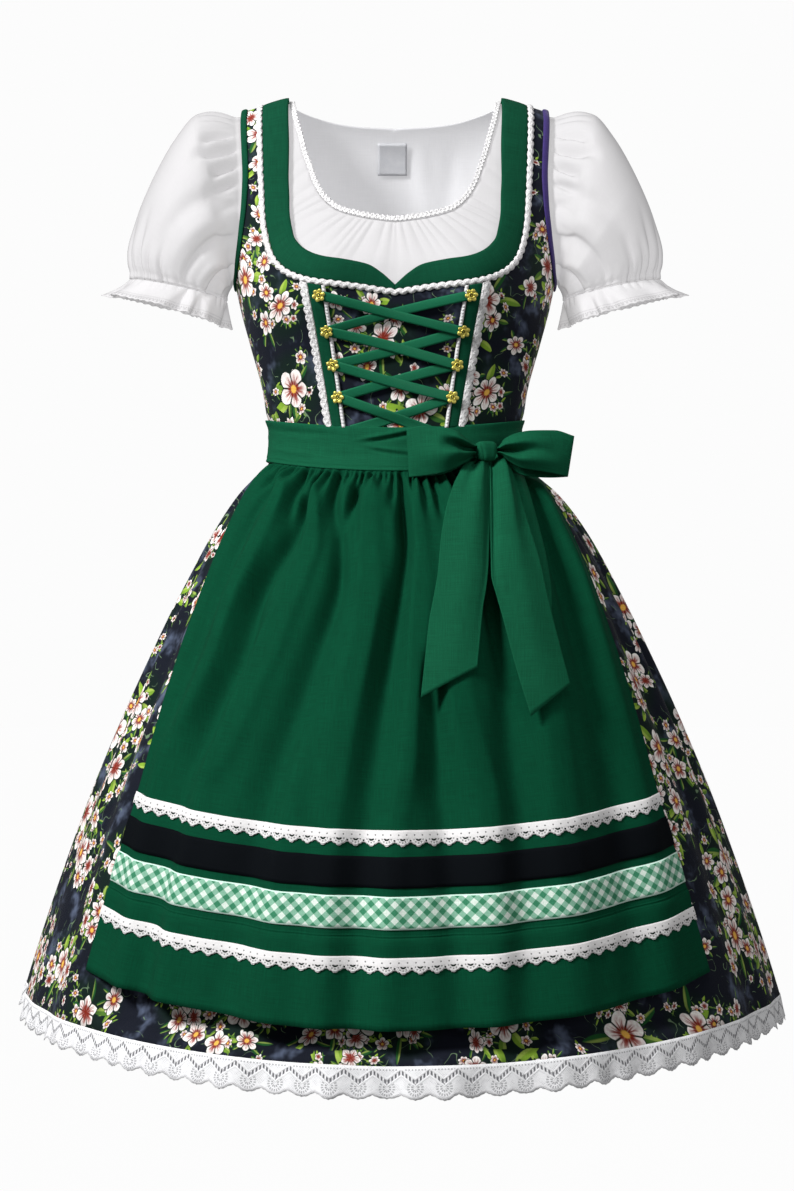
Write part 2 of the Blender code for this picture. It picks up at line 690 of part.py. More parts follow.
BLOUSE_IN = 5.0  # how far inside the dress it lies
BLOUSE_ARMHOLE_ASIDE = 6.0
BLOUSE_HEM = -300
BLOUSE_GATHER, BLOUSE_GATHERS_FROM, BLOUSE_GATHERS_FULL = 1.3, 6, 10  # a depth, and rows of the neck
BLOUSE_NECK = table(
    "x level",
    (111.5, 1.9),
    (111.4, 1.5),
    (111, -2),
    (109.5, -10),
    (108.2, -17),
    (106.5, -25),
    (102, -42),
    (97, -62),
    (91, -80),
    (85, -97),
    (77, -111),
    (68, -120.5),
    (60, -126),
    (51, -129.5),
    (42, -132),
    (34, -134),
    (25, -135.8),
    (17, -137),
    (8.5, -138.3),
    (0, -139),
)
BLOUSE_BACK_NECK = table(
    "x level", (111.5, 1.9), (111, 1.3), (108, -1.5), (102, -4), (86, -9), (65, -14), (38, -17), (0, -19)
)
BLOUSE_SIDE_LEVELS = (-235, -275)
BLOUSE_BACK_CENTRE_LEVELS = (-45, -80, -120, -160, -205, -255, BLOUSE_HEM)
BLOUSE_NECK_LACE_WIDTH, BLOUSE_LACE_WALL = 4, 0.8
LABEL_X, LABEL_LEVELS, LABEL_SIZE, LABEL_WALL = -3, (-32, -65), 32, 0.5
LABEL_IN = BLOUSE_IN + BLOUSE_WALL + 2.6


def blouse_side(side_levels, behind):
    """The blouse's edge from its shoulder along the armhole and down the side, as (angle, level)."""
    x, level = armhole_line(BLOUSE_ARMHOLE_ASIDE)
    angle = angle_of(x, level, behind)
    angle[-1] = side_angle(level[-1], behind, 2 * GAP)
    sides = np.array(side_levels, float)
    return np.concatenate([angle, side_angle(sides, behind, 2 * GAP)]), np.concatenate([level, sides])


def make_blouse_body():
    neck = (angle_of(BLOUSE_NECK["x"], BLOUSE_NECK["level"]), BLOUSE_NECK["level"])
    side_angles, side_levels = blouse_side(BLOUSE_SIDE_LEVELS, False)
    hem = np.radians((75.0, 60.0, 45.0, 30.0, 15.0, 0.0))
    edge = np.append(side_angles, hem), np.append(side_levels, np.full(len(hem), float(BLOUSE_HEM)))
    angle, level = across(neck, edge, (0.0, 0.1, 0.3, 0.62, 1.0))
    row = np.arange(len(angle))
    along = np.clip((row - BLOUSE_GATHERS_FROM) / (BLOUSE_GATHERS_FULL - BLOUSE_GATHERS_FROM), 0, 1)
    along = along * np.where(row % 2, BLOUSE_GATHER, -BLOUSE_GATHER)
    gathers = along[:, None] * np.array((0.6, 1.0, 0.7, 0.0, 0.0))
    grid = lifted(angle, level, gathers - BLOUSE_IN)
    sheet("blouse_front", grid, BLOUSE_WALL, WHITE, mirrored=True)

    middle_x = np.append(BLOUSE_BACK_NECK["x"], np.zeros(len(BLOUSE_BACK_CENTRE_LEVELS)))
    middle_level = np.append(BLOUSE_BACK_NECK["level"], BLOUSE_BACK_CENTRE_LEVELS)
    middle = angle_of(middle_x, middle_level, True), middle_level
    side = blouse_side((*BLOUSE_SIDE_LEVELS, BLOUSE_HEM), True)
    grid = lifted(*across(side, middle, np.linspace(0, 1, 6)), -BLOUSE_IN)
    sheet("blouse_back", grid, BLOUSE_WALL, WHITE, mirrored=True)

    lines = []
    for aside in (2 * GAP + BLOUSE_NECK_LACE_WIDTH, 2 * GAP):
        x, level = moved_aside(BLOUSE_NECK["x"], BLOUSE_NECK["level"], aside)
        x[-1] = 0
        level[:3] = BLOUSE_NECK["level"][:3]  # on the shoulder it moves sideways only
        lines.append((angle_of(x, level), level))
    grid = lifted(*across(lines[0], lines[1], (0, 1)), -BLOUSE_IN)
    sheet("blouse_neck_lace", grid, BLOUSE_LACE_WALL, LACE, mirrored=True)

    label_x = LABEL_X + LABEL_SIZE * np.array((0.5, 0, -0.5))
    angle, level = np.meshgrid(angle_of(label_x, np.mean(LABEL_LEVELS), True), np.array(LABEL_LEVELS, float))
    sheet("neck_label", lifted(angle, level, -LABEL_IN), LABEL_WALL, GREY)


SLEEVE_COLUMNS = 32
SLEEVE_SEAM_ASIDE, SLEEVE_HEAD_ASIDE = 0.5, -5  # rings just inside and outside the armhole's edge
SLEEVE_HEAD_OUT, SLEEVE_HEAD_UP, SLEEVE_HEAD_DEPTH = 11, 1.5, 1.05  # from the armhole to the first free ring
SLEEVE_RINGS = table(
    "outer_x outer_z inner_x inner_z depth gather",
    (193, -10.5, 173, -197, 62, 2.2),
    (211, -17, 175, -199, 70, 1.6),
    (232, -42, 176, -201, 74, 1.0),
    (255, -83, 177, -203, 73, 1.0),
    (273, -126, 178, -206, 67, 1.4),
    (283, -164, 178.5, -209, 59, 1.8),
    (280, -190, 179, -212, 50, 1.2),
)
FRILL_RINGS = table(
    "outer_x outer_z inner_x inner_z depth gather",
    (280.5, -191.5, 179, -213.2, 50, 1.2),
    (292, -201, 179, -227, 61, 3.0),
    (306, -209, 179.5, -243, 72, 5.0),
)


def ring_of(row, rings, turn, sign):
    """One ring of a sleeve, between its outer and its under point, with its gathers."""
    outer = np.array((rings["outer_x"][row], 0, rings["outer_z"][row]))
    inner = np.array((rings["inner_x"][row], 0, rings["inner_z"][row]))
    depth = rings["depth"][row]
    radius = (np.linalg.norm(outer - inner) / 2 + depth) / 2
    swell = (1 + rings["gather"][row] / radius * sign)[:, None]
    sides = np.array((0.0, -1.0, 0.0)) * depth
    return (outer + inner) / 2 + swell * (
        np.cos(turn)[:, None] * (outer - inner) / 2 + np.sin(turn)[:, None] * sides
    )


def armhole_ring(turn, aside):
    """The armhole's edge read at turns from the shoulder by way of the front."""
    x, level = armhole_line(aside)
    top, foot = level[0], level[-1]
    wanted = (top + foot) / 2 + (top - foot) / 2 * np.cos(turn)
    at_x = np.interp(-wanted, -level, x)
    angle = angle_of(at_x, wanted)
    angle = np.where(np.sin(turn) > 0, angle, np.pi - angle)
    return lifted(angle, wanted, -BLOUSE_IN)


def make_sleeves():
    turn = (np.arange(SLEEVE_COLUMNS) + 0.5) * 2 * np.pi / SLEEVE_COLUMNS
    sign = np.where(np.arange(SLEEVE_COLUMNS) % 2, 1.0, -1.0)
    head = armhole_ring(turn, SLEEVE_HEAD_ASIDE)
    first = head * (1, SLEEVE_HEAD_DEPTH, 1) + (SLEEVE_HEAD_OUT, 0, SLEEVE_HEAD_UP)
    rings = [armhole_ring(turn, SLEEVE_SEAM_ASIDE), head, first]
    rings += [ring_of(row, SLEEVE_RINGS, turn, sign) for row in range(len(SLEEVE_RINGS["depth"]))]
    frill = [ring_of(row, FRILL_RINGS, turn, sign) for row in range(len(FRILL_RINGS["depth"]))]
    for name, grid in (("sleeve", np.array(rings)), ("sleeve_frill", np.array(frill))):
        sheet(name + "_right", grid, BLOUSE_WALL, WHITE, closed=True)
        sheet(name + "_left", grid[:, ::-1] * (-1, 1, 1), BLOUSE_WALL, WHITE, closed=True)


# --- run ----------------------------------------------------------------------------------------

for old in list(bpy.data.objects):
    bpy.data.objects.remove(old)
DIRNDL = new_collection("dirndl")
make_bodice()
make_neckline()
make_armhole_bindings()
make_plackets()
make_lacing()
make_hooks()
make_skirt()
make_apron()
make_waistband()
make_bow()
make_blouse_body()
make_sleeves()
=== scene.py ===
"""The looks of a dirndl with its apron and blouse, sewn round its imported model.

Lengths are in millimetres until a mesh is made, and in metres in the patterns of the cloth, the
stage and the table of cuts. The frame is the model's own: the shoulder line is at z = 0, the front
faces -Y and +X is at the right of someone who looks at it.
"""

import math

import bmesh
import bpy
import numpy as np
from mathutils import Matrix, Vector


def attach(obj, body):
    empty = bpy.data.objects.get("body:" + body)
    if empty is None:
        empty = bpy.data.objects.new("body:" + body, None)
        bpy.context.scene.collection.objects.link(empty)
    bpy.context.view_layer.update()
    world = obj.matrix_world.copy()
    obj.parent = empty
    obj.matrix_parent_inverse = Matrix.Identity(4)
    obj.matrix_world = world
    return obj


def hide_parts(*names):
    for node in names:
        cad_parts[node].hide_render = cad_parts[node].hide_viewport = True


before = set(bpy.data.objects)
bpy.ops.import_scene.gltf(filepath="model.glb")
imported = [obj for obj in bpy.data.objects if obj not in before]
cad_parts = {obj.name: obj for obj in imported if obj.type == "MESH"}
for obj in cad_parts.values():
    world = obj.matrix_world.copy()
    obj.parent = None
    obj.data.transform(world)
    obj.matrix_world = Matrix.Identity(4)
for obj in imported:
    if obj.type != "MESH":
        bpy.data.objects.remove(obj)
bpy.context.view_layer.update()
bpy.ops.object.select_all(action="DESELECT")

MM = 0.001
GAP = 0.4  # between two pieces at a seam
MIRROR = (-1, 1, 1)


def table(columns, *rows):
    """A table as one array for each named column."""
    return dict(zip(columns.split(), np.array(rows, float).T))


def even(count):
    """As many even shares, from 0 to 1."""
    return np.linspace(0, 1, count)


def ease(value, start, end):
    """0 before start and 1 after end, with a soft turn at both."""
    share = np.clip((value - start) / (end - start), 0, 1)
    return share * share * (3 - 2 * share)


# --- the worn form ---

FORM = table(
    "level half_width front back fullness off_middle",
    (2, 190, 0.7, 0.7, 0.15, 0), (1.6, 190, 6, 6, 0.15, 0), (-2, 190, 15, 15, 0.15, 0),
    (-10, 190, 29, 31, 0.15, 0), (-25, 190, 42, 48, 0.15, 0), (-50, 190, 56, 66, 0.15, 0),
    (-85, 190, 70, 82, 0.15, 0), (-118, 186, 82, 92, 0.15, 0), (-156, 177, 96, 98, 0.15, 0),
    (-192, 170, 106, 98, 0.15, 0), (-225, 163, 107, 95, 0.15, 0), (-262, 153, 102, 91, 0.15, 0),
    (-310, 140, 97, 87, 0.15, 0), (-335, 136, 96, 86, 0.15, 0), (-350, 130.5, 96.2, 86.2, 0.15, 0),
    (-366, 130, 98, 88, 0.14, 0), (-384, 134, 104, 94, 0.12, 0), (-400, 152, 118, 108, 0.08, 1.5),
    (-418, 171, 132, 122, 0.05, 3.5), (-460, 201, 157, 148, 0, 5.5), (-514, 231, 185, 176, 0, 5.8),
    (-565, 257, 209, 201, -0.02, 5.8), (-631, 287, 236, 228, -0.04, 5.8),
    (-695, 312.5, 259, 252, -0.06, 5.8), (-763, 338, 282, 276, -0.08, 5.8),
    (-872, 376, 313, 308, -0.1, 5.8), (-947, 399.5, 332, 328, -0.12, 5.8),
    (-975, 407, 338, 334, -0.12, 5.8),
)
BUST_HEIGHT, BUST_X, BUST_WIDTH, BUST_LEVEL, BUST_REACH = 16, 82, 48, -205, 52
SHOULDER_START_X, SHOULDER_SLOPE, SHOULDER_FADE = 112, 0.3, 110
WAIST_DIP_FRONT, WAIST_DIP_BACK, DIP_START, DIP_FULL = 15, 6, -250, -340
HEM_LIFT, LIFT_START, LIFT_FULL = 9, -500, -950
SHOULDER_TOP, SHOULDER_ROUND = 2.0, 4.0


def curve(places, values, at):
    """Reads values between their places along a smooth curve that never overshoots them."""
    order = np.argsort(places)
    places, values = places[order], values[order]
    steps = np.diff(places)
    slopes = np.diff(values) / steps
    both = slopes[1:] * slopes[:-1]
    middle = np.where(both > 0, 2 * both / (slopes[1:] + slopes[:-1] + 1e-12), 0)
    tangents = np.concatenate([slopes[:1], middle, slopes[-1:]])
    at = np.clip(at, places[0], places[-1])
    k = np.clip(np.searchsorted(places, at) - 1, 0, len(steps) - 1)
    t = (at - places[k]) / steps[k]
    rise = values[k] * (1 + 2 * t) + steps[k] * tangents[k] * t
    fall = values[k + 1] * (3 - 2 * t) + steps[k] * tangents[k + 1] * (t - 1)
    return rise * (1 - t) ** 2 + fall * t**2


def read(rows, level, *columns):
    """Columns of a table read at a level."""
    found = [curve(rows["level"], rows[column], level) for column in columns]
    return found if len(found) > 1 else found[0]


def half_width(level):
    return read(FORM, level, "half_width")


def off_middle(level):
    """How far the skirt hangs to one side of the middle."""
    return read(FORM, level, "off_middle")


def on_form(angle, level):
    """Points of the form at an angle round it (0 at the front, pi/2 at +X) and a ring's level."""
    front, back, fullness = read(FORM, level, "front", "back", "fullness")
    sine, cosine = np.sin(angle), np.cos(angle)
    x = half_width(level) * sine + off_middle(level)
    y = -np.where(cosine > 0, front, back) * cosine * (1 + fullness * sine**2)
    bust = np.exp(-(((np.abs(x) - BUST_X) / BUST_WIDTH) ** 2) - ((level - BUST_LEVEL) / BUST_REACH) ** 2)
    y = y - BUST_HEIGHT * bust * np.clip(cosine * 4, 0, 1)
    drop = SHOULDER_SLOPE * np.clip(np.abs(x) - SHOULDER_START_X, 0, None)
    drop = drop * np.clip(1 + level / SHOULDER_FADE, 0, 1)
    middle = np.abs(cosine) ** 1.5  # 1 at the centre front and back, 0 at the sides
    dip = np.where(cosine > 0, WAIST_DIP_FRONT, WAIST_DIP_BACK) * middle
    dip = dip * np.clip((DIP_START - level) / (DIP_START - DIP_FULL), 0, 1)
    lift = HEM_LIFT * (1 - middle) * np.clip((LIFT_START - level) / (LIFT_START - LIFT_FULL), 0, 1)
    return np.stack(np.broadcast_arrays(x, y, level - drop - dip + lift), -1)


def lifted(angle, level, out=0.0):
    """Points of the form moved out along its normal."""
    angle, level, out = np.broadcast_arrays(*(np.asarray(value, float) for value in (angle, level, out)))
    round_it = on_form(angle + 0.01, level) - on_form(angle - 0.01, level)
    down = on_form(angle, level - 1) - on_form(angle, level + 1)
    normal = np.cross(down, round_it)
    # The normal stands straight up on the shoulder line.
    normal[..., 1] *= np.clip((SHOULDER_TOP - level) / SHOULDER_ROUND, 0, 1)
    normal /= np.linalg.norm(normal, axis=-1, keepdims=True)
    return on_form(angle, level) + normal * out[..., None]


def angle_of(x, level, behind=False):
    """The angle round the form where it is x wide at a level."""
    level = np.asarray(level, float)
    angle = np.arcsin(np.clip((np.asarray(x) - off_middle(level)) / half_width(level), -1, 1))
    return np.pi - angle if behind else angle


def front_place(x, z, out):
    """The point of the front at x and z, moved out."""
    level = np.array(z, float)
    for _ in range(8):
        angle = angle_of(x, level)
        level = level + (z - on_form(angle, level)[..., 2])
    return lifted(angle, level, out)


def side_angle(level, behind=False, gap=GAP):
    """The side seam, a little before or behind the widest place."""
    half_gap = gap / read(FORM, np.asarray(level, float), "back" if behind else "front")
    return np.pi / 2 + half_gap if behind else np.pi / 2 - half_gap


def finer(values, steps):
    """A list of numbers with more between them, on a smooth curve through them all."""
    values = np.asarray(values, float)
    places = np.arange(len(values), dtype=float)
    return curve(places, values, np.linspace(0, len(values) - 1, (len(values) - 1) * steps + 1))


def finer_line(line, steps):
    return finer(line[0], steps), finer(line[1], steps)


def line_on_form(x, level, steps, behind=False):
    """A line given by its x and level, as finer (angle, level)."""
    return finer_line((angle_of(x, level, behind), level), steps)


def across(start, end, shares):
    """A grid of (angle, level) between two lines of the same number of points."""
    shares = np.asarray(shares)[None, :]
    angle = start[0][:, None] * (1 - shares) + end[0][:, None] * shares
    level = start[1][:, None] * (1 - shares) + end[1][:, None] * shares
    return angle, level


def ring_length(angle, level):
    """The way round the form at a level, from the front to an angle."""
    angle, level = np.broadcast_arrays(np.asarray(angle, float), np.asarray(level, float))
    steps = even(25)
    points = on_form(angle[..., None] * steps, level[..., None] * np.ones(25))
    return np.linalg.norm(np.diff(points, axis=-2), axis=-1).sum(-1) * np.sign(angle)


# --- soft creases ---


CREASE = "at lean top foot width spread height hold"


def creases(rows, place, level, wrap=False):
    """The height of soft ridges and troughs, each running from its top level down to its foot."""
    total = 0.0
    for at, lean, top, foot, width, spread, height, hold in zip(*rows.values()):
        down = (top - level) / (top - foot)
        away = place - at - lean * down
        if wrap:
            away = (away + 180) % 360 - 180
        wide = width * (1 + spread * np.clip(down, 0, 1))
        come = ease(down, 0, 0.35) * (1 - (1 - hold) * ease(down, 0.55, 1.0))
        total = total + height * come * np.exp(-((away / wide) ** 2))
    return total


def fold_lines(*lines):
    """Long folds, one line each: at a few levels down its way, where it runs, how far it stands
    out, and how wide it is before and after its line, given once where both are the same."""
    columns = "level at height before after"
    return [table(columns, *((*row, row[-1])[:5] for row in line)) for line in lines]


def folds(lines, place, level):
    """The height of long folds at a place and a level."""
    total = 0.0
    for line in lines:
        at, height, before, after = read(line, level, "at", "height", "before", "after")
        away = place - at
        total = total + height * np.exp(-((away / np.where(away < 0, before, after)) ** 2))
    return total


def wander(place, *parts):
    """A sum of slow waves (size, waves, start) that makes an even pattern uneven."""
    return sum(size * np.sin(count * place + start) for size, count, start in parts)


def gathered(phase):
    """Round ridges with narrow troughs between them, from 0 in a trough to 1 on a ridge."""
    return np.abs(np.sin(phase / 2)) ** 0.8


# --- pieces ---

WALL, SASH_WALL, BLOUSE_WALL, THIN_WALL = 0.8, 1.0, 0.6, 0.5  # how thick each kind of cloth is


def placed(name, data):
    """A new object in the scene."""
    new = bpy.data.objects.new(name, data)
    bpy.context.scene.collection.objects.link(new)
    return new


def piece_of(name, mesh, finish, node):
    """A piece that shows in place of a node of the model, in one of the finishes."""
    slot, material = FINISH[finish]
    mesh.materials.append(material)
    piece = placed(name, mesh)
    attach(piece, "root")
    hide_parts(node)
    return piece


def cloth(name, grid, uv, finish, wall=WALL, closed=False, halves=False):
    """One piece of cloth. Rows of the grid run down and its columns run round towards +X, so that
    it faces out, and its wall lies behind it. uv is in millimetres of flat cloth. A piece in two
    halves is joined only where their edges meet."""
    rows, columns = grid.shape[:2]
    steps = columns if closed else columns - 1
    row, column = np.meshgrid(np.arange(rows - 1), np.arange(steps), indexing="ij")
    row, column = row.ravel(), column.ravel()
    if halves:
        row, column = row[column != columns // 2 - 1], column[column != columns // 2 - 1]
    here, under = row * columns, (row + 1) * columns
    after = (column + 1) % columns
    corners = np.stack([here + column, under + column, under + after, here + after], -1)
    mesh = bpy.data.meshes.new(name)
    mesh.from_pydata((grid.reshape(-1, 3) * MM).tolist(), [], corners.tolist())
    mesh.shade_smooth()
    flat = [uv[row, column], uv[row + 1, column], uv[row + 1, column + 1], uv[row, column + 1]]
    flat = np.stack(flat, 1).reshape(-1) * MM
    mesh.uv_layers.new(name="Flat").data.foreach_set("uv", flat.astype(np.float32))
    if halves:
        work = bmesh.new()
        work.from_mesh(mesh)
        bmesh.ops.remove_doubles(work, verts=work.verts, dist=0.02 * MM)
        work.to_mesh(mesh)
        work.free()
    solid = piece_of(name + "_cloth", mesh, finish, name).modifiers.new("Wall", "SOLIDIFY")
    solid.thickness = wall * MM
    solid.offset = -1


def both_sides(name, grid, uv, finish, wall=WALL, closed=False):
    """A piece on the +X side and its mirror image on the -X side."""
    cloth(name + "_right", grid, uv, finish, wall, closed)
    cloth(name + "_left", grid[:, ::-1] * MIRROR, uv[:, ::-1] * (-1, 1), finish, wall, closed)


def from_side_to_side(grid):
    """A strip that runs down the +X side, joined to its mirror image at the middle."""
    return np.concatenate([grid * MIRROR, grid[:, -2::-1]], 1)


def round_behind(angle, level):
    """A panel of the back's +X half, joined to its mirror image."""
    return np.concatenate([angle, 2 * np.pi - angle[:, ::-1]], 1), np.concatenate([level, level[:, ::-1]], 1)


def flat_of(grid, closed=False):
    """Flat places in millimetres: the way along the rows and down the columns of a narrow strip."""
    grid = np.concatenate([grid, grid[:, :1]], 1) if closed else grid
    along = np.linalg.norm(np.diff(grid, axis=1), axis=-1).mean(0)
    down = np.linalg.norm(np.diff(grid, axis=0), axis=-1).mean(1)
    u = np.concatenate([[0], np.cumsum(along)])
    v = -np.concatenate([[0], np.cumsum(down)])
    return np.stack(np.meshgrid(u, v), -1)


# --- patterns written as arithmetic in node trees, in metres of flat cloth ---


class Value:
    """A number, colour or direction in a node tree, so that a pattern reads as plain arithmetic."""

    def __init__(self, tree, socket):
        self.tree, self.socket = tree, socket

    def through(self, kind, settings, *others):
        """What a new node makes of this value and others."""
        node = self.tree.nodes.new("ShaderNode" + kind)
        for name, value in settings.items():
            setattr(node, name, value)
        for socket, value in zip(node.inputs, (self, *others)):
            put(value, socket)
        return Value(self.tree, node.outputs[0])

    def math(self, operation, *others):
        return self.through("Math", {"operation": operation}, *others)

    def vector(self, operation, *others):
        return self.through("VectorMath", {"operation": operation}, *others)

    def __rsub__(self, other):
        return self * -1.0 + other

    def soft(self, start, end):
        """0 at start and 1 at end, with a soft turn at both."""
        return self.through("MapRange", {"interpolation_type": "SMOOTHSTEP"}, start, end, 0.0, 1.0)

    def parts(self):
        node = self.tree.nodes.new("ShaderNodeSeparateXYZ")
        put(self, node.inputs[0])
        return [Value(self.tree, socket) for socket in node.outputs]


OPERATIONS = (
    ("__add__", "ADD"), ("__radd__", "ADD"), ("__sub__", "SUBTRACT"), ("__mul__", "MULTIPLY"),
    ("__rmul__", "MULTIPLY"), ("__truediv__", "DIVIDE"), ("__pow__", "POWER"), ("__abs__", "ABSOLUTE"),
    ("above", "GREATER_THAN"), ("below", "LESS_THAN"), ("floor", "FLOOR"), ("fract", "FRACT"),
    ("sin", "SINE"), ("at_most", "MINIMUM"), ("at_least", "MAXIMUM"), ("turn_from", "ARCTAN2"),
)
for method, operation in OPERATIONS:
    setattr(Value, method, lambda self, *others, kind=operation: self.math(kind, *others))


def put(value, socket):
    """Gives an input a value of its tree, or a constant."""
    if isinstance(value, Value):
        value.tree.links.new(value.socket, socket)
    else:
        socket.default_value = value


def add(tree, kind, settings=(), outputs=(0,), **values):
    """A node with its settings and inputs by name, as its output or outputs."""
    node = tree.nodes.new("ShaderNode" + kind)
    for name, value in dict(settings).items():
        setattr(node, name, value)
    for name, value in values.items():
        put(value, node.inputs[name])
    found = [Value(tree, node.outputs[output]) for output in outputs]
    return found[0] if len(found) == 1 else found


FLAT_NOISE = {"noise_dimensions": "2D"}


def joined(x, y):
    return add(x.tree, "CombineXYZ", X=x, Y=y, Z=0.0)


def colour(red, green, blue):
    """A colour given as the 0 to 255 values of a screen."""
    parts = [value / 255 for value in (red, green, blue)]
    return (*(value / 12.92 if value < 0.04045 else ((value + 0.055) / 1.055) ** 2.4 for value in parts), 1)


def mixed(share, first, second):
    node = share.tree.nodes.new("ShaderNodeMix")
    node.data_type = "RGBA"
    for value, socket in ((share, "Factor"), (first, 6), (second, 7)):
        put(value, node.inputs[socket])
    return Value(share.tree, node.outputs[2])


def noise(place, scale, detail=2.0, roughness=0.5):
    values = {"Vector": place, "Scale": scale, "Detail": detail, "Roughness": roughness}
    return add(place.tree, "TexNoise", FLAT_NOISE, **values)


def new_group(name, outputs, inputs="Place Vector"):
    """An empty group, its inputs as values, and its output node. Each socket is named with its
    kind after it."""
    tree = bpy.data.node_groups.new(name, "ShaderNodeTree")
    for in_out, sockets in (("INPUT", inputs), ("OUTPUT", outputs)):
        for socket in sockets.split(", "):
            label, kind = socket.rsplit(" ", 1)
            tree.interface.new_socket(label, in_out=in_out, socket_type="NodeSocket" + kind)
    source = tree.nodes.new("NodeGroupInput")
    target = tree.nodes.new("NodeGroupOutput")
    return [Value(tree, socket) for socket in source.outputs[:-1]], target


def use_group(group, *values):
    tree = values[0].tree
    node = tree.nodes.new("ShaderNodeGroup")
    node.node_tree = group
    for socket, value in zip(node.inputs, values):
        put(value, socket)
    found = [Value(tree, socket) for socket in node.outputs]
    return found[0] if len(found) == 1 else found


def give(target, *values):
    """Ends a group with its output values."""
    for socket, value in zip(target.inputs, values):
        put(value, socket)
    return target.id_data


def make_weave():
    """A plain weave and its thick and thin threads: a height and a shade around 1."""
    sockets = "Height Float, Shade Float", "Place Vector, Pitch Float"
    (place, pitch), target = new_group("Plain weave", *sockets)
    u, v, _ = place.parts()
    threads = (u / pitch * math.pi).sin() * (v / pitch * math.pi).sin()
    along = noise(joined(u * 1500.0, v * 45.0), 1.0, 1.0)
    across_it = noise(joined(u * 45.0, v * 1500.0), 1.0, 1.0)
    cloudy = noise(place, 22.0, 3.0)
    slubs = (along + across_it - 1.0) * 0.9
    shade = slubs + (cloudy - 0.5) * 0.3 + 1.0
    return give(target, abs(threads) * 0.6 + slubs * 1.4, shade)


def make_blossom():
    """One blossom with its leaves around a centre: two masks and their colours."""
    (offset, chance, radius), target = new_group(
        "Blossom", "Leaf Float, Leaf colour Color, Bloom Float, Bloom colour Color",
        "Offset Vector, Chance Color, Radius Float",
    )
    x, y, _ = offset.parts()
    first, second, third = chance.parts()
    # Seen a little from the side, so that no two blossoms look alike.
    lean = second * 6.28
    along = x * (lean + 1.57).sin() + y * lean.sin()
    aside = (y * (lean + 1.57).sin() - x * lean.sin()) * (third * 0.5 + 1.0)
    reach = (along * along + aside * aside) ** 0.5 / radius
    turn = aside.turn_from(along) / (2 * math.pi) + first * 3.0

    petals = (third * 2.9 + 5.0).floor()
    sector = (turn * petals).math("WRAP", petals, 0.0)
    inside = abs(sector.fract() - 0.5)
    of_petal = joined(sector.floor(), first * 91.0)
    length = add(offset.tree, "TexWhiteNoise", FLAT_NOISE, Vector=of_petal)
    across = inside * reach * (2 * math.pi) / petals
    seam = (0.5 - inside) * reach * (2 * math.pi) / petals
    end = length * 0.2 + 0.8
    way = (reach - end * 0.55) / (end * 0.45)
    pointed = second.soft(0.70, 0.78) * 0.75
    half = (1.0 - way * way).at_least(0.0) ** (pointed + 0.42) * 2.15 / petals
    lobe = (half - across).soft(0.0, 0.045)
    outline = (half + 0.085 - across).soft(0.0, 0.04) * reach.below(1.04)
    streak = noise(joined(sector * 7.0, reach * 1.2), 1.0, 1.0)
    petal = mixed(noise(offset, 210.0).soft(0.35, 0.65), colour(255, 253, 248), colour(240, 229, 226))
    petal = mixed(reach.soft(0.85, 0.35) * 0.22, petal, colour(222, 178, 170))
    rays = (0.34 - inside).soft(0.0, 0.16) * reach.soft(0.80, 0.44) * streak.soft(0.36, 0.52)
    petal = mixed(rays * 0.9, petal, colour(150, 52, 40))
    petal = mixed(seam.soft(0.065, 0.02), petal, colour(34, 40, 34))
    petal = mixed(reach.soft(0.46, 0.28) * (streak * 0.8 + 0.5).at_most(1.0), petal, colour(132, 38, 22))
    eye = reach.soft(0.22, 0.13) * first.above(0.35)
    petal = mixed(eye, petal, mixed(streak, colour(255, 222, 110), colour(226, 140, 44)))
    inner = lobe.at_least(reach.soft(0.34, 0.26))
    petal = mixed(inner, colour(14, 36, 26), petal)
    bloom = inner.at_least(outline)

    spikes = (first * 2.6 + 7.0).floor()
    fan = ((turn + second) * spikes).math("WRAP", spikes, 0.0)
    of_leaf = joined(fan.floor(), second * 57.0)
    there, several = add(offset.tree, "TexWhiteNoise", FLAT_NOISE, outputs=(0, 1), Vector=of_leaf)
    _, tall, kind = several.parts()
    sway = (reach - 1.0) * (kind - 0.5) * 0.5
    beside = fan.fract() - 0.5 + sway
    tip = tall * 1.1 + 1.3
    way = ((reach - 0.5) / (tip - 0.5)).at_least(0.0).at_most(1.0)
    half = (way * (1.0 - way) * 4.0) ** 0.8 * (kind * 0.16 + 0.12)
    leaf = (half - abs(beside) * reach * (2 * math.pi) / spikes).soft(0.0, 0.05) * there.above(0.42)
    green = mixed(kind.soft(0.45, 0.9), colour(30, 86, 40), colour(134, 172, 54))
    green = mixed((beside * 9.0).soft(-0.1, 0.6) * 0.5, green, colour(190, 210, 104))
    green = mixed(way.soft(0.6, 0.0) * 0.7, green, colour(18, 54, 28))
    return give(target, leaf, green, bloom, petal)


# The smallest flowers come first, as the larger ones lie on them. The largest lies in the middle of
# its bunch.
FLOWER_LAYERS = (
    # cell, least and greatest radius, nearest and farthest from the bunch's middle, how rare,
    # strays, shift
    (0.0165, 0.0048, 0.0080, 0.16, 0.52, 0.50, 0.93, (0.31, 0.17, 0.0)),
    (0.0290, 0.0120, 0.0168, 0.22, 0.50, 0.10, 0.90, (0.57, 0.83, 0.0)),
)
BUNCH = 0.090


def scattered(place, cell, feature="F1", evenness=0.72):
    """The distance to the middle of the cell that a place lies in, its random colour and its middle."""
    settings = {"voronoi_dimensions": "2D", "feature": feature}
    values = {"Vector": place, "Scale": 1 / cell, "Randomness": evenness}
    return add(place.tree, "TexVoronoi", settings, outputs=(0, 1, 2), **values)


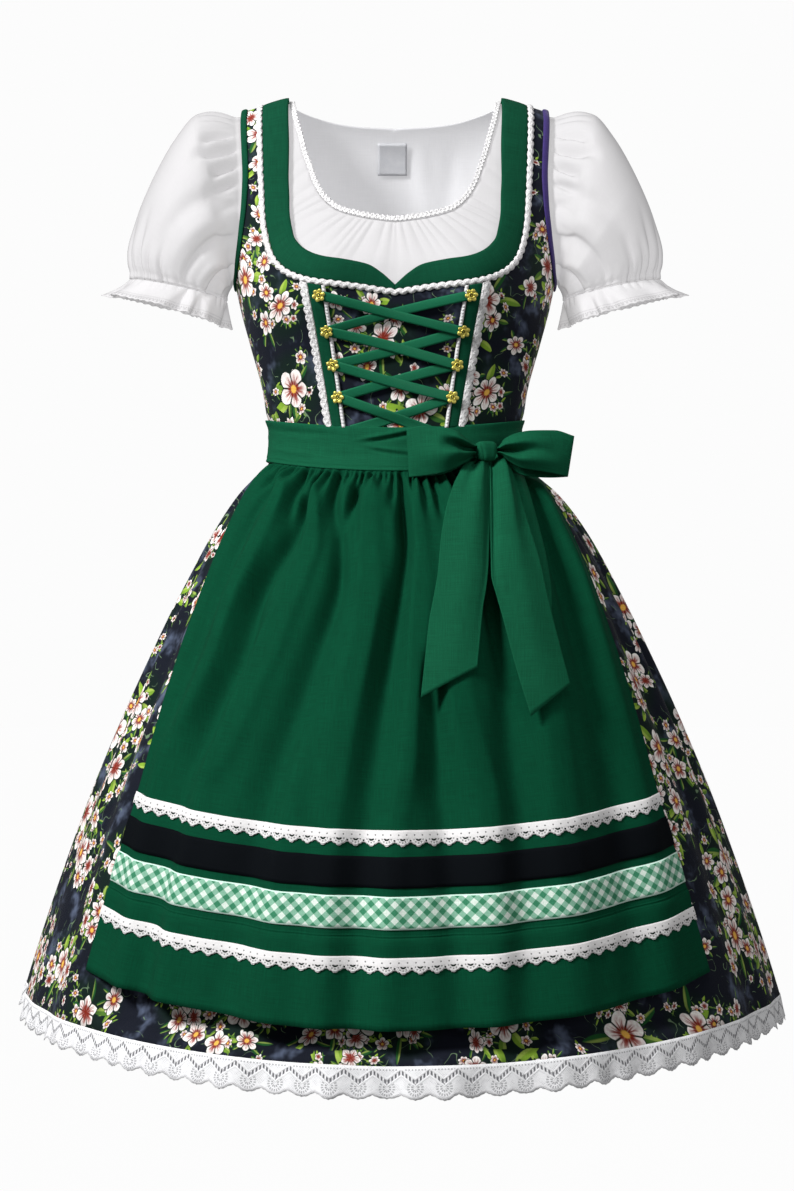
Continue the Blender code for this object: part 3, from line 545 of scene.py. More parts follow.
def make_flower_print(blossom):
    """Bunches of pale blossoms with leaves on a cloudy dark blue ground."""
    (place,), target = new_group("Flower print", "Color Color, Raised Float")
    near, of_bunch, bunch = scattered(place, BUNCH, evenness=0.6)
    cloud = noise(place, 30.0, 3.0, 0.6).soft(0.50, 0.80)
    total = mixed(cloud, colour(20, 24, 35), colour(88, 98, 120))
    total = mixed(near.soft(0.50, 0.28) * 0.8, total, colour(14, 34, 26))
    bend = noise(place, 38.0, 1.0)
    sprigs = abs(bend - 0.5).soft(0.0075, 0.003) * noise(place, 52.0, 1.0).soft(0.50, 0.56)
    total = mixed(sprigs * 0.8, total, mixed(bend, colour(60, 112, 60), colour(150, 168, 140)))
    leaves, blooms = [], []
    for cell, least, greatest, inner, outer, rare, strays, shift in FLOWER_LAYERS:
        moved = place.vector("ADD", shift)
        for feature in ("F2", "F1"):  # the nearest lies on the one after it
            _, chance, centre = scattered(moved, cell, feature)
            home, of_home, _ = scattered(centre.vector("SUBTRACT", shift), BUNCH, evenness=0.6)
            first, second, third = chance.parts()
            full = of_home.parts()[1]
            there = home.above(inner) * home.below((full * 0.5 + 0.6) * outer) * second.above(rare)
            there = there.at_least(third.above(strays))
            radius = least + first * (greatest - least)
            offset = moved.vector("SUBTRACT", centre)
            leaf, green, bloom, petal = use_group(blossom, offset, chance, radius)
            leaves.append((leaf * there, green))
            blooms.append((bloom * there, petal))
    largest = of_bunch.parts()[0] * 0.005 + 0.0195
    leaf, green, bloom, petal = use_group(blossom, place.vector("SUBTRACT", bunch), of_bunch, largest)
    leaves.append((leaf, green))
    blooms.append((bloom, petal))
    for mask, shade in leaves + blooms:
        total = mixed(mask, total, shade)
    return give(target, total, blooms[-1][0])


def make_gingham():
    """Small squares on the bias, two crossing rows of stripes, between narrow pale edges."""
    (place, deep), target = new_group("Gingham on the bias", "Color Color", "Place Vector, Depth Float")
    u, v, _ = place.parts()
    pitch = 0.0103 * math.sqrt(2)
    first, second = (abs(((u * way + v) / pitch).fract() - 0.5).soft(0.235, 0.265) for way in (1.0, -1.0))
    fibre = noise(place, 900.0, 1.0)
    pale = mixed(fibre, colour(232, 240, 232), colour(204, 222, 210))
    middle = mixed(fibre, colour(146, 192, 168), colour(122, 174, 148))
    dark = mixed(fibre, colour(66, 140, 104), colour(48, 118, 86))
    one = mixed(first, pale, middle)
    two = mixed(first, middle, dark)
    edge = (v + 0.0013).above(0.0).at_least((v + deep - 0.0013).below(0.0))
    return give(target, mixed(edge, mixed(second, one, two), colour(206, 236, 222)))


def hole(place_u, place_d, spacing, at, radius, shift=0.0):
    """A row of round holes at a distance below the top edge."""
    beside = ((place_u / spacing + shift).fract() - 0.5) * spacing
    below = place_d - at
    return ((beside * beside + below * below) ** 0.5).soft(radius * 1.25, radius * 0.75)


def new_lace(name):
    """A group for a lace: where its holes are and its height, from its flat place and its period."""
    (place, period), target = new_group(name, "Holes Float, Height Float", "Place Vector, Period Float")
    u, v, _ = place.parts()
    return place, period, target, u, v * -1.0


def make_fan_lace():
    """A trimming with teeth: small eyelets, a smile in each tooth and an eyelet between two."""
    place, period, target, u, down = new_lace("Fan lace")
    mid = ((u / period).fract() - 0.5) * period
    below = down - 0.0072
    radius = (mid * mid + below * below) ** 0.5
    smile = abs(radius - 0.0021).soft(0.0010, 0.0005) * below.soft(0.0005, 0.0011)
    turn = below.turn_from(mid) / math.pi
    dots = abs((turn * 5.0).fract() - 0.5).soft(0.34, 0.14) * abs(radius - 0.0045).soft(0.0008, 0.0003)
    open_ = smile.at_least(hole(u, down, period, 0.0096, 0.0008, 0.5))
    open_ = open_.at_least(hole(u, down, period / 2, 0.0045, 0.0007) * 0.65)
    open_ = open_.at_least(dots * below.above(0.0) * 0.55)
    relief = (radius * 4200.0).sin() * 0.25 * below.above(0.0) + noise(place, 1500.0, 1.0) * 0.7
    return give(target, open_, relief - open_)


def make_cord_lace():
    """A thick narrow trimming of two cords wound round each other."""
    place, period, target, u, down = new_lace("Cord lace")
    turned = (u / period - down / 0.0070) * 2 * math.pi
    crossed = (u / period + down / 0.0058) * 2 * math.pi
    relief = turned.sin().at_least(crossed.sin()) * 0.5 + noise(place, 1100.0, 1.0)
    # Specks, and painted shade in the troughs between the cords, both go out as holes and are painted grey.
    specks_and_trough_shade = noise(place, 460.0, 1.0).soft(0.57, 0.68).at_least((relief * -1.0).soft(-0.22, -0.02))
    return give(target, specks_and_trough_shade * 0.7, relief)


def make_hem_lace():
    """A deep lace: a row of eyelets, net, a zigzag of slits, rings and a firm scalloped edge."""
    place, period, target, u, down = new_lace("Hem lace")
    part = (u / period).fract() - 0.5
    pitch = 0.0023
    net = abs(((u + down) / pitch).fract() - 0.5).at_most(abs(((u - down) / pitch).fract() - 0.5))
    net = net.soft(0.14, 0.34) * noise(place, 150.0, 1.0).soft(0.40, 0.62)
    from_zigzag = down - 0.0148 + abs(part) * 0.0190
    slits = abs((u / 0.0034).fract() - 0.5).soft(0.33, 0.17) * abs(from_zigzag).soft(0.0022, 0.0014)
    cords = abs(abs(from_zigzag) - 0.0032).soft(0.0011, 0.0006)
    beside, below = part * period, down - 0.0198
    radius = (beside * beside + below * below) ** 0.5
    turn = below.turn_from(beside) / math.pi
    rings = abs((turn * 5.0).fract() - 0.5).soft(0.38, 0.2) * abs(radius - 0.0030).soft(0.0014, 0.0007)
    spray = abs((turn * 9.0).fract() - 0.5).soft(0.36, 0.2) * abs(radius - 0.0066).soft(0.0016, 0.0008)
    open_ = (net * 0.24).at_least(hole(u, down, 0.0031, 0.0034, 0.0008) * 0.5)
    open_ = open_.at_least(rings * 0.6).at_least(spray * 0.5)
    open_ = (open_ * (1.0 - cords)).at_least(slits)
    relief = cords * 0.6 + noise(place, 1400.0, 1.0) * 0.6
    return give(target, open_, relief - open_)


# --- finishes ---


def new_finish(name, roughness, sheen=0.0, metallic=0.0):
    """A material with its shader, its flat places, and constants set on the shader."""
    material = bpy.data.materials.new(name)
    material.use_nodes = True
    tree = material.node_tree
    shader = tree.nodes["Principled BSDF"]
    shader.inputs["Roughness"].default_value = roughness
    shader.inputs["Metallic"].default_value = metallic
    shader.inputs["Sheen Weight"].default_value = sheen
    shader.inputs["Sheen Roughness"].default_value = 0.45
    shader.inputs["Specular IOR Level"].default_value = 0.07
    place = add(tree, "UVMap", {"uv_map": "Flat"})
    return material, shader, place


def bump(shader, height, distance):
    normal = add(height.tree, "Bump", Height=height, Distance=distance, Strength=1.0)
    put(normal, shader.inputs["Normal"])


def paint(shader, base, shade):
    """Gives the shader a colour made lighter or darker by a value around 1."""
    if not isinstance(base, Value):
        source = add(shade.tree, "RGB")
        source.socket.default_value = base
        base = source
    painted = add(shade.tree, "VectorMath", {"operation": "SCALE"}, Vector=base, Scale=shade)
    put(painted, shader.inputs["Base Color"])


def paint_glow(shader, base, painted_glow):
    """Painted light: the cloth glows with its own colour, less where it is seen edge on, so that its shade
    stays pale.
    """
    edge_on = add(shader.id_data, "LayerWeight", Blend=0.5, outputs=(1,))
    shader.inputs["Emission Color"].default_value = base
    put((1.0 - edge_on * edge_on * 0.6) * painted_glow, shader.inputs["Emission Strength"])


def woven(name, screen_colour, pitch, depth, roughness, sheen=0.0, uneven=0.5, painted_glow=0.0):
    """Plain woven cloth of one colour. Given a painted glow, it glows a little with its own colour: painted
    light that pales its shade.
    """
    material, shader, place = new_finish(name, roughness, sheen)
    base = colour(*screen_colour)
    height, shade = use_group(WEAVE, place, pitch)
    paint(shader, base, (shade - 1.0) * uneven + 1.0)
    # A painted glow: painted light of the cloth's own colour.
    if painted_glow:
        paint_glow(shader, base, painted_glow)
    bump(shader, height, depth)
    return material


def batiste(name, screen_colour, painted_glow):
    # Batiste with a painted glow as strong as given.
    return woven(name, screen_colour, 0.0003, 0.00005, 0.9, 0.0, 0.10, painted_glow)


FRILL_LACE_START = 0.0275  # below its upper edge


def frilled(base, painted_glow):
    """Batiste with a fine tuck and a narrow lace along its lower edge. The tuck and the lace's holes are
    painted darker, as painted shade, and the cloth has a painted glow.
    """
    material, shader, place = new_finish("White batiste frill", 0.9)
    height, shade = use_group(WEAVE, place, 0.0003)
    u, v, _ = place.parts()
    below = v * -1.0 - FRILL_LACE_START
    tuck = abs(below + 0.0012).soft(0.0011, 0.0004)
    holes = hole(u, below, 0.0031, 0.0021, 0.0010).at_least(hole(u, below, 0.0062, 0.0048, 0.0016, 0.5))
    # Painted shade: the holes and the tuck are darker. The lace is also a little darker all over.
    tone_with_painted_shade = 1.0 - (holes * 0.20).at_least(tuck * 0.10) - below.above(0.0) * 0.02
    paint(shader, base, tone_with_painted_shade * ((shade - 1.0) * 0.1 + 1.0))
    paint_glow(shader, base, tone_with_painted_shade * painted_glow)
    bump(shader, height * 0.2 - holes - tuck, 0.0003)
    return material


def printed_cotton():
    material, shader, place = new_finish("Flower print cotton", 0.72, 0.06)
    shade, raised = use_group(FLOWERS, place)
    height, threads = use_group(WEAVE, place, 0.00034)
    paint(shader, shade, (threads - 1.0) * 0.25 + 1.0)
    bump(shader, height + raised * 0.2, 0.00006)
    return material


def lace(name, group, period, clear, through, relief=0.0004, base=(238, 236, 236)):
    """A lace whose holes are as clear as given. Where they are less than clear, they are painted a colour of
    their own, as painted shade.
    """
    material, shader, place = new_finish(name, 0.85, 0.05)
    holes, height = use_group(group, place, period)
    yarn = noise(place, 700.0, 2.0)
    thread = mixed(yarn, colour(*base), colour(*(value - 16 for value in base)))
    # Painted shade: the holes take the given colour, as far as they are not clear.
    put(mixed(holes, thread, colour(*through)), shader.inputs["Base Color"])
    put(1.0 - holes * clear, shader.inputs["Alpha"])
    bump(shader, height, relief)
    return material


def ribbed(name, screen_colour, pitch, roughness, sheen=0.0):
    """A ribbon with ribs across it."""
    material, shader, place = new_finish(name, roughness, sheen)
    u, _, _ = place.parts()
    ribs = abs((u / pitch * math.pi).sin())
    fibre = noise(place, 900.0, 2.0)
    # Painted shade: the grooves between the ribs are darker than the ribs.
    paint(shader, colour(*screen_colour), 0.86 + ribs * 0.14 + (fibre - 0.5) * 0.25)
    bump(shader, ribs + fibre * 0.4, 0.00015)
    return material


def checked():
    material, shader, place = new_finish("Gingham", 0.8, 0.1)
    shade = use_group(GINGHAM, place, 0.030)
    height, threads = use_group(WEAVE, place, 0.0005)
    paint(shader, shade, (threads - 1.0) * 0.3 + 1.0)
    bump(shader, height, 0.00008)
    return material


def gilded():
    material, shader, place = new_finish("Gilded hook", 0.3, 0.0, 0.75)
    place = add(place.tree, "TexCoord", outputs=(3,))
    worn = add(place.tree, "TexNoise", Vector=place, Scale=420.0, Detail=3.0)
    put(mixed(worn, colour(232, 222, 122), colour(204, 186, 84)), shader.inputs["Base Color"])
    put(0.22 + worn * 0.25, shader.inputs["Roughness"])
    bump(shader, worn, 0.0002)
    return material


def label_cloth():
    """A bare woven patch."""
    material, shader, place = new_finish("Label", 0.55, 0.1)
    u, v, _ = place.parts()
    twill = (((u + v) / 0.0009) * math.pi * 2).sin() * 0.5 + 0.5
    cloudy = noise(place, 120.0, 2.0)
    shade = mixed(cloudy, colour(222, 223, 226), colour(204, 206, 211))
    # Painted shade: the twill's grooves are a little darker than its ridges.
    paint(shader, shade, 0.94 + twill * 0.08)
    bump(shader, twill, 0.0001)
    return material


def pale_floor():
    material, shader, place = new_finish("Pale floor", 0.95)
    place = add(place.tree, "TexCoord", outputs=(3,))
    cloudy = add(place.tree, "TexNoise", Vector=place, Scale=2.0)
    put(mixed(cloudy, colour(16, 16, 16), colour(12, 12, 12)), shader.inputs["Base Color"])
    seen = add(place.tree, "LightPath")
    shader.inputs["Emission Color"].default_value = (1, 1, 1, 1)
    put(seen * 0.80 + 0.17, shader.inputs["Emission Strength"])
    return material


WEAVE = make_weave()
FLOWERS = make_flower_print(make_blossom())
GINGHAM = make_gingham()
FAN_LACE, CORD_LACE, HEM_LACE = make_fan_lace(), make_cord_lace(), make_hem_lace()
# Each finish: the slot of the model that it fills, and its material.
GREEN, WHITE, LACE = "green_cotton", "blouse_batiste", "cotton_lace"
FINISH = {
    "print": ("flower_print_cotton", printed_cotton()),
    # Copies of one green cotton: the apron's is painted darker, as painted shade, and the sash's lighter, as
    # painted light, for how light falls on them.
    "green": (GREEN, woven("Green cotton", (12, 70, 48), 0.00038, 0.00009, 0.9)),
    "apron": (GREEN, woven("Green apron cotton", (3, 66, 43), 0.00038, 0.00009, 0.9)),
    "sash": (GREEN, woven("Green sash cotton", (15, 84, 57), 0.00036, 0.00009, 0.85, 0.0, 0.45)),
    "purple": ("purple_binding", woven("Violet binding", (60, 47, 106), 0.00034, 0.00008, 0.6, 0.2, 0.4)),
    "ribbon": ("lacing_ribbon", ribbed("Green lacing ribbon", (24, 104, 72), 0.0007, 0.5, 0.05)),
    "black": ("black_ribbon", ribbed("Black ribbon", (5, 9, 14), 0.0006, 0.8)),
    # Painted light: the white batistes are a dim colour with a strong painted glow, so that their shade stays
    # pale. The copy for the blouse's back, in shade inside the dress, is a lighter colour with less glow, and
    # the frill's glow is the strongest.
    "white": (WHITE, batiste("White batiste", (142, 141, 142), 1.75)),
    "white behind": (WHITE, batiste("White batiste in the shade", (190, 190, 192), 0.60)),
    "gingham": ("gingham_cotton", checked()),
    # The colour after each lace's clearness is the painted shade of its holes: grey in the white laces, dark
    # green in the apron's, where the holes are not fully clear.
    "hem lace": (LACE, lace("Hem lace", HEM_LACE, 0.0270, 0.2, (112, 112, 118), base=(252, 252, 254))),
    "apron lace": (LACE, lace("Apron lace", FAN_LACE, 0.0150, 0.6, (30, 48, 40))),
    "cord lace": (LACE, lace("Cord lace", CORD_LACE, 0.0088, 0.0, (204, 199, 202), 0.0010, (246, 245, 245))),
    "neck lace": (
        LACE,
        lace("Blouse neck lace", CORD_LACE, 0.0052, 0.0, (196, 193, 197), 0.0008, (246, 245, 245)),
    ),
    "frill": (WHITE, frilled(colour(144, 143, 144), 1.95)),
    "cord": (LACE, woven("White cord", (228, 227, 228), 0.0007, 0.0002, 0.85, 0.0, 0.2)),
    "metal": ("hook_metal", gilded()),
    "label": ("label_tape", label_cloth()),
}


# --- lines on the form, as (x, level) ---

ARMHOLE = table(
    "x level",
    (162, 2), (162, 1.6), (162, -2), (162, -10), (161.5, -25), (160, -52), (158.5, -85), (159.5, -118),
    (162.5, -148), (166, -174), (167.5, -187), (168.6, -197),
)
NECK_FRONT = table(
    "inner_x inner_level outer_x outer_level",
    (112.5, 2, 140, 2), (112.5, 1.6, 140, 1.6), (112, -2, 140, -2), (112, -10, 140, -10),
    (111.5, -25, 139.5, -25), (110, -62, 138, -62), (109.3, -107, 136, -105), (108, -135, 133.5, -140),
    (104, -155, 126, -172), (97, -166.5, 115, -188), (86, -175, 99, -198), (72, -180, 81, -203.5),
    (52, -183, 58, -206.5), (28, -188, 32, -209.5), (14.5, -196, 15, -212), (0, -208.7, 0, -214),
)
NECK_SEAM_ROW = 11  # the row where the centre front meets the side front
NECK_BACK = table(
    "inner_x inner_level outer_x outer_level",
    (112.5, 2, 140, 2), (112.5, 1.6, 140, 1.6), (112, -2, 140, -2), (110, -10, 139.5, -12),
    (107.5, -15.5, 137.5, -21), (104, -22, 134, -32), (88, -40, 114, -60), (60, -52, 78, -78),
    (30, -58, 40, -86), (0, -60, 0, -88),
)
ARMHOLE_STRAP_ROWS = 5  # the rows where the armhole runs down the shoulder strap
BODICE_HEM = -365
SIDE_LEVELS = (-230, -264, -298, -332, BODICE_HEM)
FRONT_SEAM = table("x level", (77, -232), (71.5, -264), (66, -298), (61, -332), (58.5, BODICE_HEM))
BACK_CENTRE_LEVELS = (-115, -148, -188, -230, -276, -322, BODICE_HEM)
BINDING_WIDTH = 5
TUCK = 3  # how far a panel goes in under the band or binding
NECK_LACE_WIDTH = 5.4
CORD_LOBES = 8.8, 2.3  # how long and how high the lobes of the cord lace are


def moved_aside(x, level, distance):
    """A line moved sideways by a distance, to the right of its way from the shoulder down."""
    along = np.stack([np.gradient(x), np.gradient(level)], -1)
    along /= np.linalg.norm(along, axis=-1, keepdims=True) + 1e-9
    return x + along[:, 1] * distance, level - along[:, 0] * distance


def armhole_line(aside):
    """The armhole from the shoulder to the underarm, moved into the panel."""
    x, level = ARMHOLE["x"].copy(), ARMHOLE["level"].copy()
    x[:ARMHOLE_STRAP_ROWS] -= aside
    towards = np.linspace(0, math.pi / 2, len(x) - ARMHOLE_STRAP_ROWS)
    x[ARMHOLE_STRAP_ROWS:] -= aside * np.cos(towards)
    level[ARMHOLE_STRAP_ROWS:] -= aside * np.sin(towards) ** 2
    return x, level


def outer_edge(aside, side_levels, behind=False, gap=GAP):
    """A panel's edge down the armhole, moved into the panel, and then down its side seam."""
    x, level = armhole_line(aside)
    angle = angle_of(x, level, behind)
    angle[-1] = side_angle(level[-1], behind, gap)
    sides = np.array(side_levels, float)
    return np.append(angle, side_angle(sides, behind, gap)), np.append(level, sides)


def neck_line(line, aside):
    """The outer edge of a neckline band, moved away from it."""
    x, level = line["outer_x"].copy(), line["outer_level"].copy()
    steps_x, steps_level = np.gradient(x), np.gradient(level)
    length = np.hypot(steps_x, steps_level)
    x = x - steps_level / length * aside
    level = level + steps_x / length * aside
    x[line["outer_x"] == 0] = 0
    level[:3] = line["outer_level"][:3]
    return x, level


def flat_on_form(angle, level, shift=(0.0, 0.0), behind=False):
    """Flat places of a bodice panel: the way round from the centre, and the level."""
    if behind:
        way = ring_length(angle, level) - ring_length(np.pi + 0 * angle, level)
    else:
        way = ring_length(angle, level)
    return np.stack([way + shift[0], level * 1.04 + shift[1]], -1)


# --- bodice ---

# Soft drags on the bodice: places are angles in degrees from the front.
BODICE_CREASES = table(
    CREASE,
    (58, -14, -205, -345, 5, 0.3, -1.6, 0), (74, -10, -215, -352, 4, 0.2, 1.5, 0),
    (40, -5, -250, -360, 4, 0.4, 1.2, 0.4), (-62, 12, -210, -350, 5, 0.3, -1.7, 0),
    (-78, 9, -222, -356, 4.5, 0.2, 1.4, 0), (-43, 6, -258, -362, 4, 0.4, 1.3, 0.4),
    (12, -6, -300, -362, 4, 0.5, 1, 0.5), (-14, 4, -310, -364, 4.5, 0.5, 1.1, 0.5),
    (104, 14, -190, -330, 5, 0.3, -1.5, 0), (128, 8, -240, -360, 4, 0.5, 1.5, 0.4),
    (152, 5, -285, -362, 3.6, 0.5, 1.4, 0.5), (176, 3, -290, -362, 3.8, 0.5, 1.2, 0.5),
    (-108, -12, -200, -340, 5, 0.3, -1.5, 0), (-131, -9, -250, -360, 4, 0.5, 1.4, 0.4),
    (-155, -5, -280, -362, 3.6, 0.5, 1.5, 0.5),
)


def bodice_points(angle, level, out=0.0):
    return lifted(angle, level, out + creases(BODICE_CREASES, np.degrees(angle), level, True))


def make_side_fronts():
    last = NECK_SEAM_ROW + 1
    neck_x, neck_level = neck_line(NECK_FRONT, -TUCK)
    x = np.append(neck_x[:last], FRONT_SEAM["x"])
    level = np.append(neck_level[:last], FRONT_SEAM["level"])
    outer = finer_line(outer_edge(BINDING_WIDTH - TUCK, SIDE_LEVELS), 5)
    shares = even(36)
    angle, level = across(line_on_form(x, level, 5), outer, shares)
    # Its edge lies a little deeper, under the band.
    under = -0.7 * (1 - ease(shares, 0, 0.08)) * (level > FRONT_SEAM["level"][0])
    for side_name, sign, shift in (("right", 1, (-257.7, 326.3)), ("left", -1, (-34.9, 241.4))):
        grid = bodice_points(angle * sign, level, under)
        flat = flat_on_form(angle * sign, level, shift)
        if sign < 0:
            grid, flat = grid[:, ::-1], flat[:, ::-1]
        cloth("bodice_side_front_" + side_name, grid, flat, "print")


def make_centre_front():
    neck_x, neck_level = (part[NECK_SEAM_ROW:] for part in neck_line(NECK_FRONT, -TUCK))
    top_x, top_level = finer(neck_x, 8), finer(neck_level, 8)
    top_x, top_level = np.append(-top_x[:-1], top_x[::-1]), np.append(top_level[:-1], top_level[::-1])
    seam_x = finer(np.append(neck_x[0], FRONT_SEAM["x"]), 8)
    seam_level = finer(np.append(neck_level[0], FRONT_SEAM["level"]), 8)
    down = (seam_level[0] - seam_level) / (seam_level[0] - BODICE_HEM)
    level = top_level[None, :] + (BODICE_HEM - top_level[None, :]) * down[:, None]
    angle = angle_of(top_x[None, :] / top_x.max() * (seam_x + GAP)[:, None], level)
    flat = flat_on_form(angle, level, (20.7, 370.4))
    cloth("bodice_centre_front", bodice_points(angle, level, -0.3), flat, "print")


def make_bodice_back():
    neck_x, neck_level = neck_line(NECK_BACK, -TUCK)
    centre = np.array(BACK_CENTRE_LEVELS, float)
    inner = line_on_form(np.append(neck_x, 0 * centre), np.append(neck_level, centre), 5, True)
    outer = finer_line(outer_edge(BINDING_WIDTH - TUCK, SIDE_LEVELS, True), 5)
    angle, level = round_behind(*across(outer, inner, even(44)))
    flat = flat_on_form(angle, level, (20, 40), True)
    cloth("bodice_back", bodice_points(angle, level), flat, "print", halves=True)


def crowned(shares, height):
    """The height of a strip that is a little full between its edges."""
    return height * np.sqrt(np.clip(1 - (2 * np.asarray(shares) - 1) ** 2, 0, 1))


def make_neckline_bands():
    shares = even(13)
    swell = crowned(shares, 1.1)[None, :] + 0.2
    inner = line_on_form(NECK_FRONT["inner_x"], NECK_FRONT["inner_level"], 7)
    outer = line_on_form(NECK_FRONT["outer_x"], NECK_FRONT["outer_level"], 7)
    grid = lifted(*across(inner, outer, shares), swell)
    both_sides("neckline_band", grid, flat_of(grid), "green")

    inner = line_on_form(NECK_BACK["inner_x"], NECK_BACK["inner_level"], 7, True)
    outer = line_on_form(NECK_BACK["outer_x"], NECK_BACK["outer_level"], 7, True)
    grid = lifted(*across(outer, inner, shares), swell)
    grid = np.concatenate([grid, (grid * MIRROR)[-2::-1]])
    cloth("neckline_band_back", grid, flat_of(grid), "green")


def make_neckline_lace():
    near_x, near_level = (finer(part, 16) for part in neck_line(NECK_FRONT, -0.2))
    far_x, far_level = (finer(part, 16) for part in neck_line(NECK_FRONT, NECK_LACE_WIDTH))
    lines = []
    for share in even(9):
        x, level = near_x * (1 - share) + far_x * share, near_level * (1 - share) + far_level * share
        lines.append(lifted(angle_of(x, level), level, 1.0 + 1.7 * math.sin(math.pi * share)))
    grid = from_side_to_side(np.array(lines))  # rows run down from the band to the wavy edge
    cloth("neckline_lace", lobed(grid, *CORD_LOBES, 0.8), flat_of(grid), "cord lace", wall=1.2)


def lobed(grid, period, height, near=0.0):
    """Draws the far edge of a trimming, and the near one by a share, in and out to soft lobes."""
    along = np.linalg.norm(np.diff(grid[len(grid) // 2], axis=0), axis=-1)
    way = np.pi * np.concatenate([[0], np.cumsum(along)]) / period
    across_it = grid[-1] - grid[0]
    across_it /= np.linalg.norm(across_it, axis=-1, keepdims=True) + 1e-9
    share = np.linspace(0, 1, len(grid))[:, None]
    pull = share**2 * (np.abs(np.sin(way)) ** 0.6 - 0.6)
    pull = pull - (1 - share) ** 2 * near * (np.abs(np.cos(way)) ** 0.6 - 0.6)
    return grid + (height * pull)[..., None] * across_it[None]


def make_armhole_bindings():
    """A closed strip round each armhole, rounded over its edge."""
    loops = []
    for share in even(9):
        x, level = armhole_line(share * (BINDING_WIDTH + 0.6))
        front, back = angle_of(x, level), angle_of(x, level, True)
        front[-1] = np.pi / 2
        front, back, level = finer(front, 6), finer(back, 6), finer(level, 6)
        angles = np.concatenate([front[1:], back[-2:0:-1]])
        levels = np.concatenate([level[1:], level[-2:0:-1]])
        loops.append(lifted(angles, levels, 0.3 + crowned(share, 1.3)))
    grid = np.array(loops)[:, ::-1]
    flat = flat_of(grid, True)
    cloth("armhole_binding_right", grid, flat, "purple", closed=True)
    cloth("armhole_binding_left", grid[:, ::-1] * MIRROR, flat, "green", closed=True)


# --- plackets, hooks and lacing ---

PLACKET_FOOT = -340
PLACKET_EDGES = table(
    "level lace_edge outer inner piping_edge",
    (-209, 96, 88, 75, 71), (-350, 69.5, 62, 52.5, 48.5),
)
LACE_FOOT_OF_NECK = 6.0  # below the neckline band
PLACKET_LIFT, PIPING_BEADS = 2.4, 42
STRAND_LIFT_LOW, STRAND_LIFT_HIGH, HOOK_LIFT = 4.6, 6.4, 6.8
HOOKS = table("x level", (76, -220), (68.5, -254), (62, -284), (57, -313))
STRAND_WIDTH = 9
STRAND_ENDS_X, STRANDS_FOOT = (-45, 36), -342  # where the last crossing goes under the waistband


def neck_foot(x):
    """The level just under the neckline lace at a distance from the middle."""
    line_x, line_level = neck_line(NECK_FRONT, LACE_FOOT_OF_NECK)
    return np.interp(x, line_x[::-1], line_level[::-1])


def upright_strip(near, far, lift, swell, columns=9, rows=90):
    """A strip down the front between two columns of PLACKET_EDGES."""
    share = even(rows)
    edges = []
    for column in (near, far):
        top = neck_foot(PLACKET_EDGES[column][0])
        level = top + (PLACKET_FOOT - top) * share
        x = np.interp(-level, -PLACKET_EDGES["level"], PLACKET_EDGES[column])
        edges.append((angle_of(x, level), level))
    shares = even(columns)
    return lifted(*across(edges[0], edges[1], shares), lift + crowned(shares, swell)[None, :])


def make_plackets():
    grid = upright_strip("inner", "outer", PLACKET_LIFT, 0.8)
    both_sides("placket", grid, flat_of(grid), "green")
    grid = upright_strip("outer", "lace_edge", PLACKET_LIFT - 0.2, 1.4, rows=260)
    turned = np.moveaxis(grid, 0, 1)  # its rows run outwards
    flat = flat_of(turned)
    grid, flat = np.moveaxis(lobed(turned, *CORD_LOBES), 1, 0), np.moveaxis(flat, 1, 0)
    both_sides("placket_lace", grid, flat, "cord lace")
    grid = upright_strip("piping_edge", "inner", PLACKET_LIFT - 0.6, 1.9, rows=420)
    beads = np.abs(np.sin(np.linspace(0, math.pi * PIPING_BEADS, 420)))[:, None] ** 0.7
    beads = beads * crowned(even(9), 0.9)
    grid = grid + beads[..., None] * (0, -1, 0)
    both_sides("placket_piping", grid, flat_of(grid), "cord")


def strand(name, start, end, lift, bow):
    """One stretch of the lacing ribbon between two places (x, level), slack enough to bow a little.
    One that ends below the hooks sinks there, to pass behind the waistband."""
    steps = 34
    share = even(steps)[:, None]
    way = np.array(end, float) - np.array(start, float)
    side = np.array((way[1], -way[0])) / np.hypot(*way)
    if side[1] < 0:
        side = -side
    points = np.array(start, float) + share * way + side * bow * np.sin(np.pi * share)
    if way[0] < 0:
        points = points[::-1]
    rows = []
    for place in np.linspace(0.5, -0.5, 7):
        row = points + side * place * STRAND_WIDTH
        tilt = lift + place * 1.6 * np.cos(np.pi * share[:, 0]) + 0.5 * (1 - 4 * place * place)
        tilt = 1.2 + (tilt - 1.2) * ease(row[:, 1], STRANDS_FOOT + 3, STRANDS_FOOT + 20)
        rows.append(lifted(angle_of(row[:, 0], row[:, 1]), row[:, 1], tilt))
    grid = np.array(rows)
    cloth(name, grid, flat_of(grid), "ribbon", THIN_WALL)


def make_lacing():
    hooks = list(zip(HOOKS["x"], HOOKS["level"]))
    left = [(-x, level) for x, level in hooks] + [(STRAND_ENDS_X[0], STRANDS_FOOT)]
    right = hooks + [(STRAND_ENDS_X[1], STRANDS_FOOT)]
    bows = ((-1.2, 0.9), (0.8, -1.4), (-0.6, 1.2), (0.4, -0.5))
    for row, (falling, rising) in enumerate(bows):
        strand(f"lacing_down_{row + 1}", left[row], right[row + 1], STRAND_LIFT_HIGH, falling)
        strand(f"lacing_up_{row + 1}", left[row + 1], right[row], STRAND_LIFT_LOW, rising)


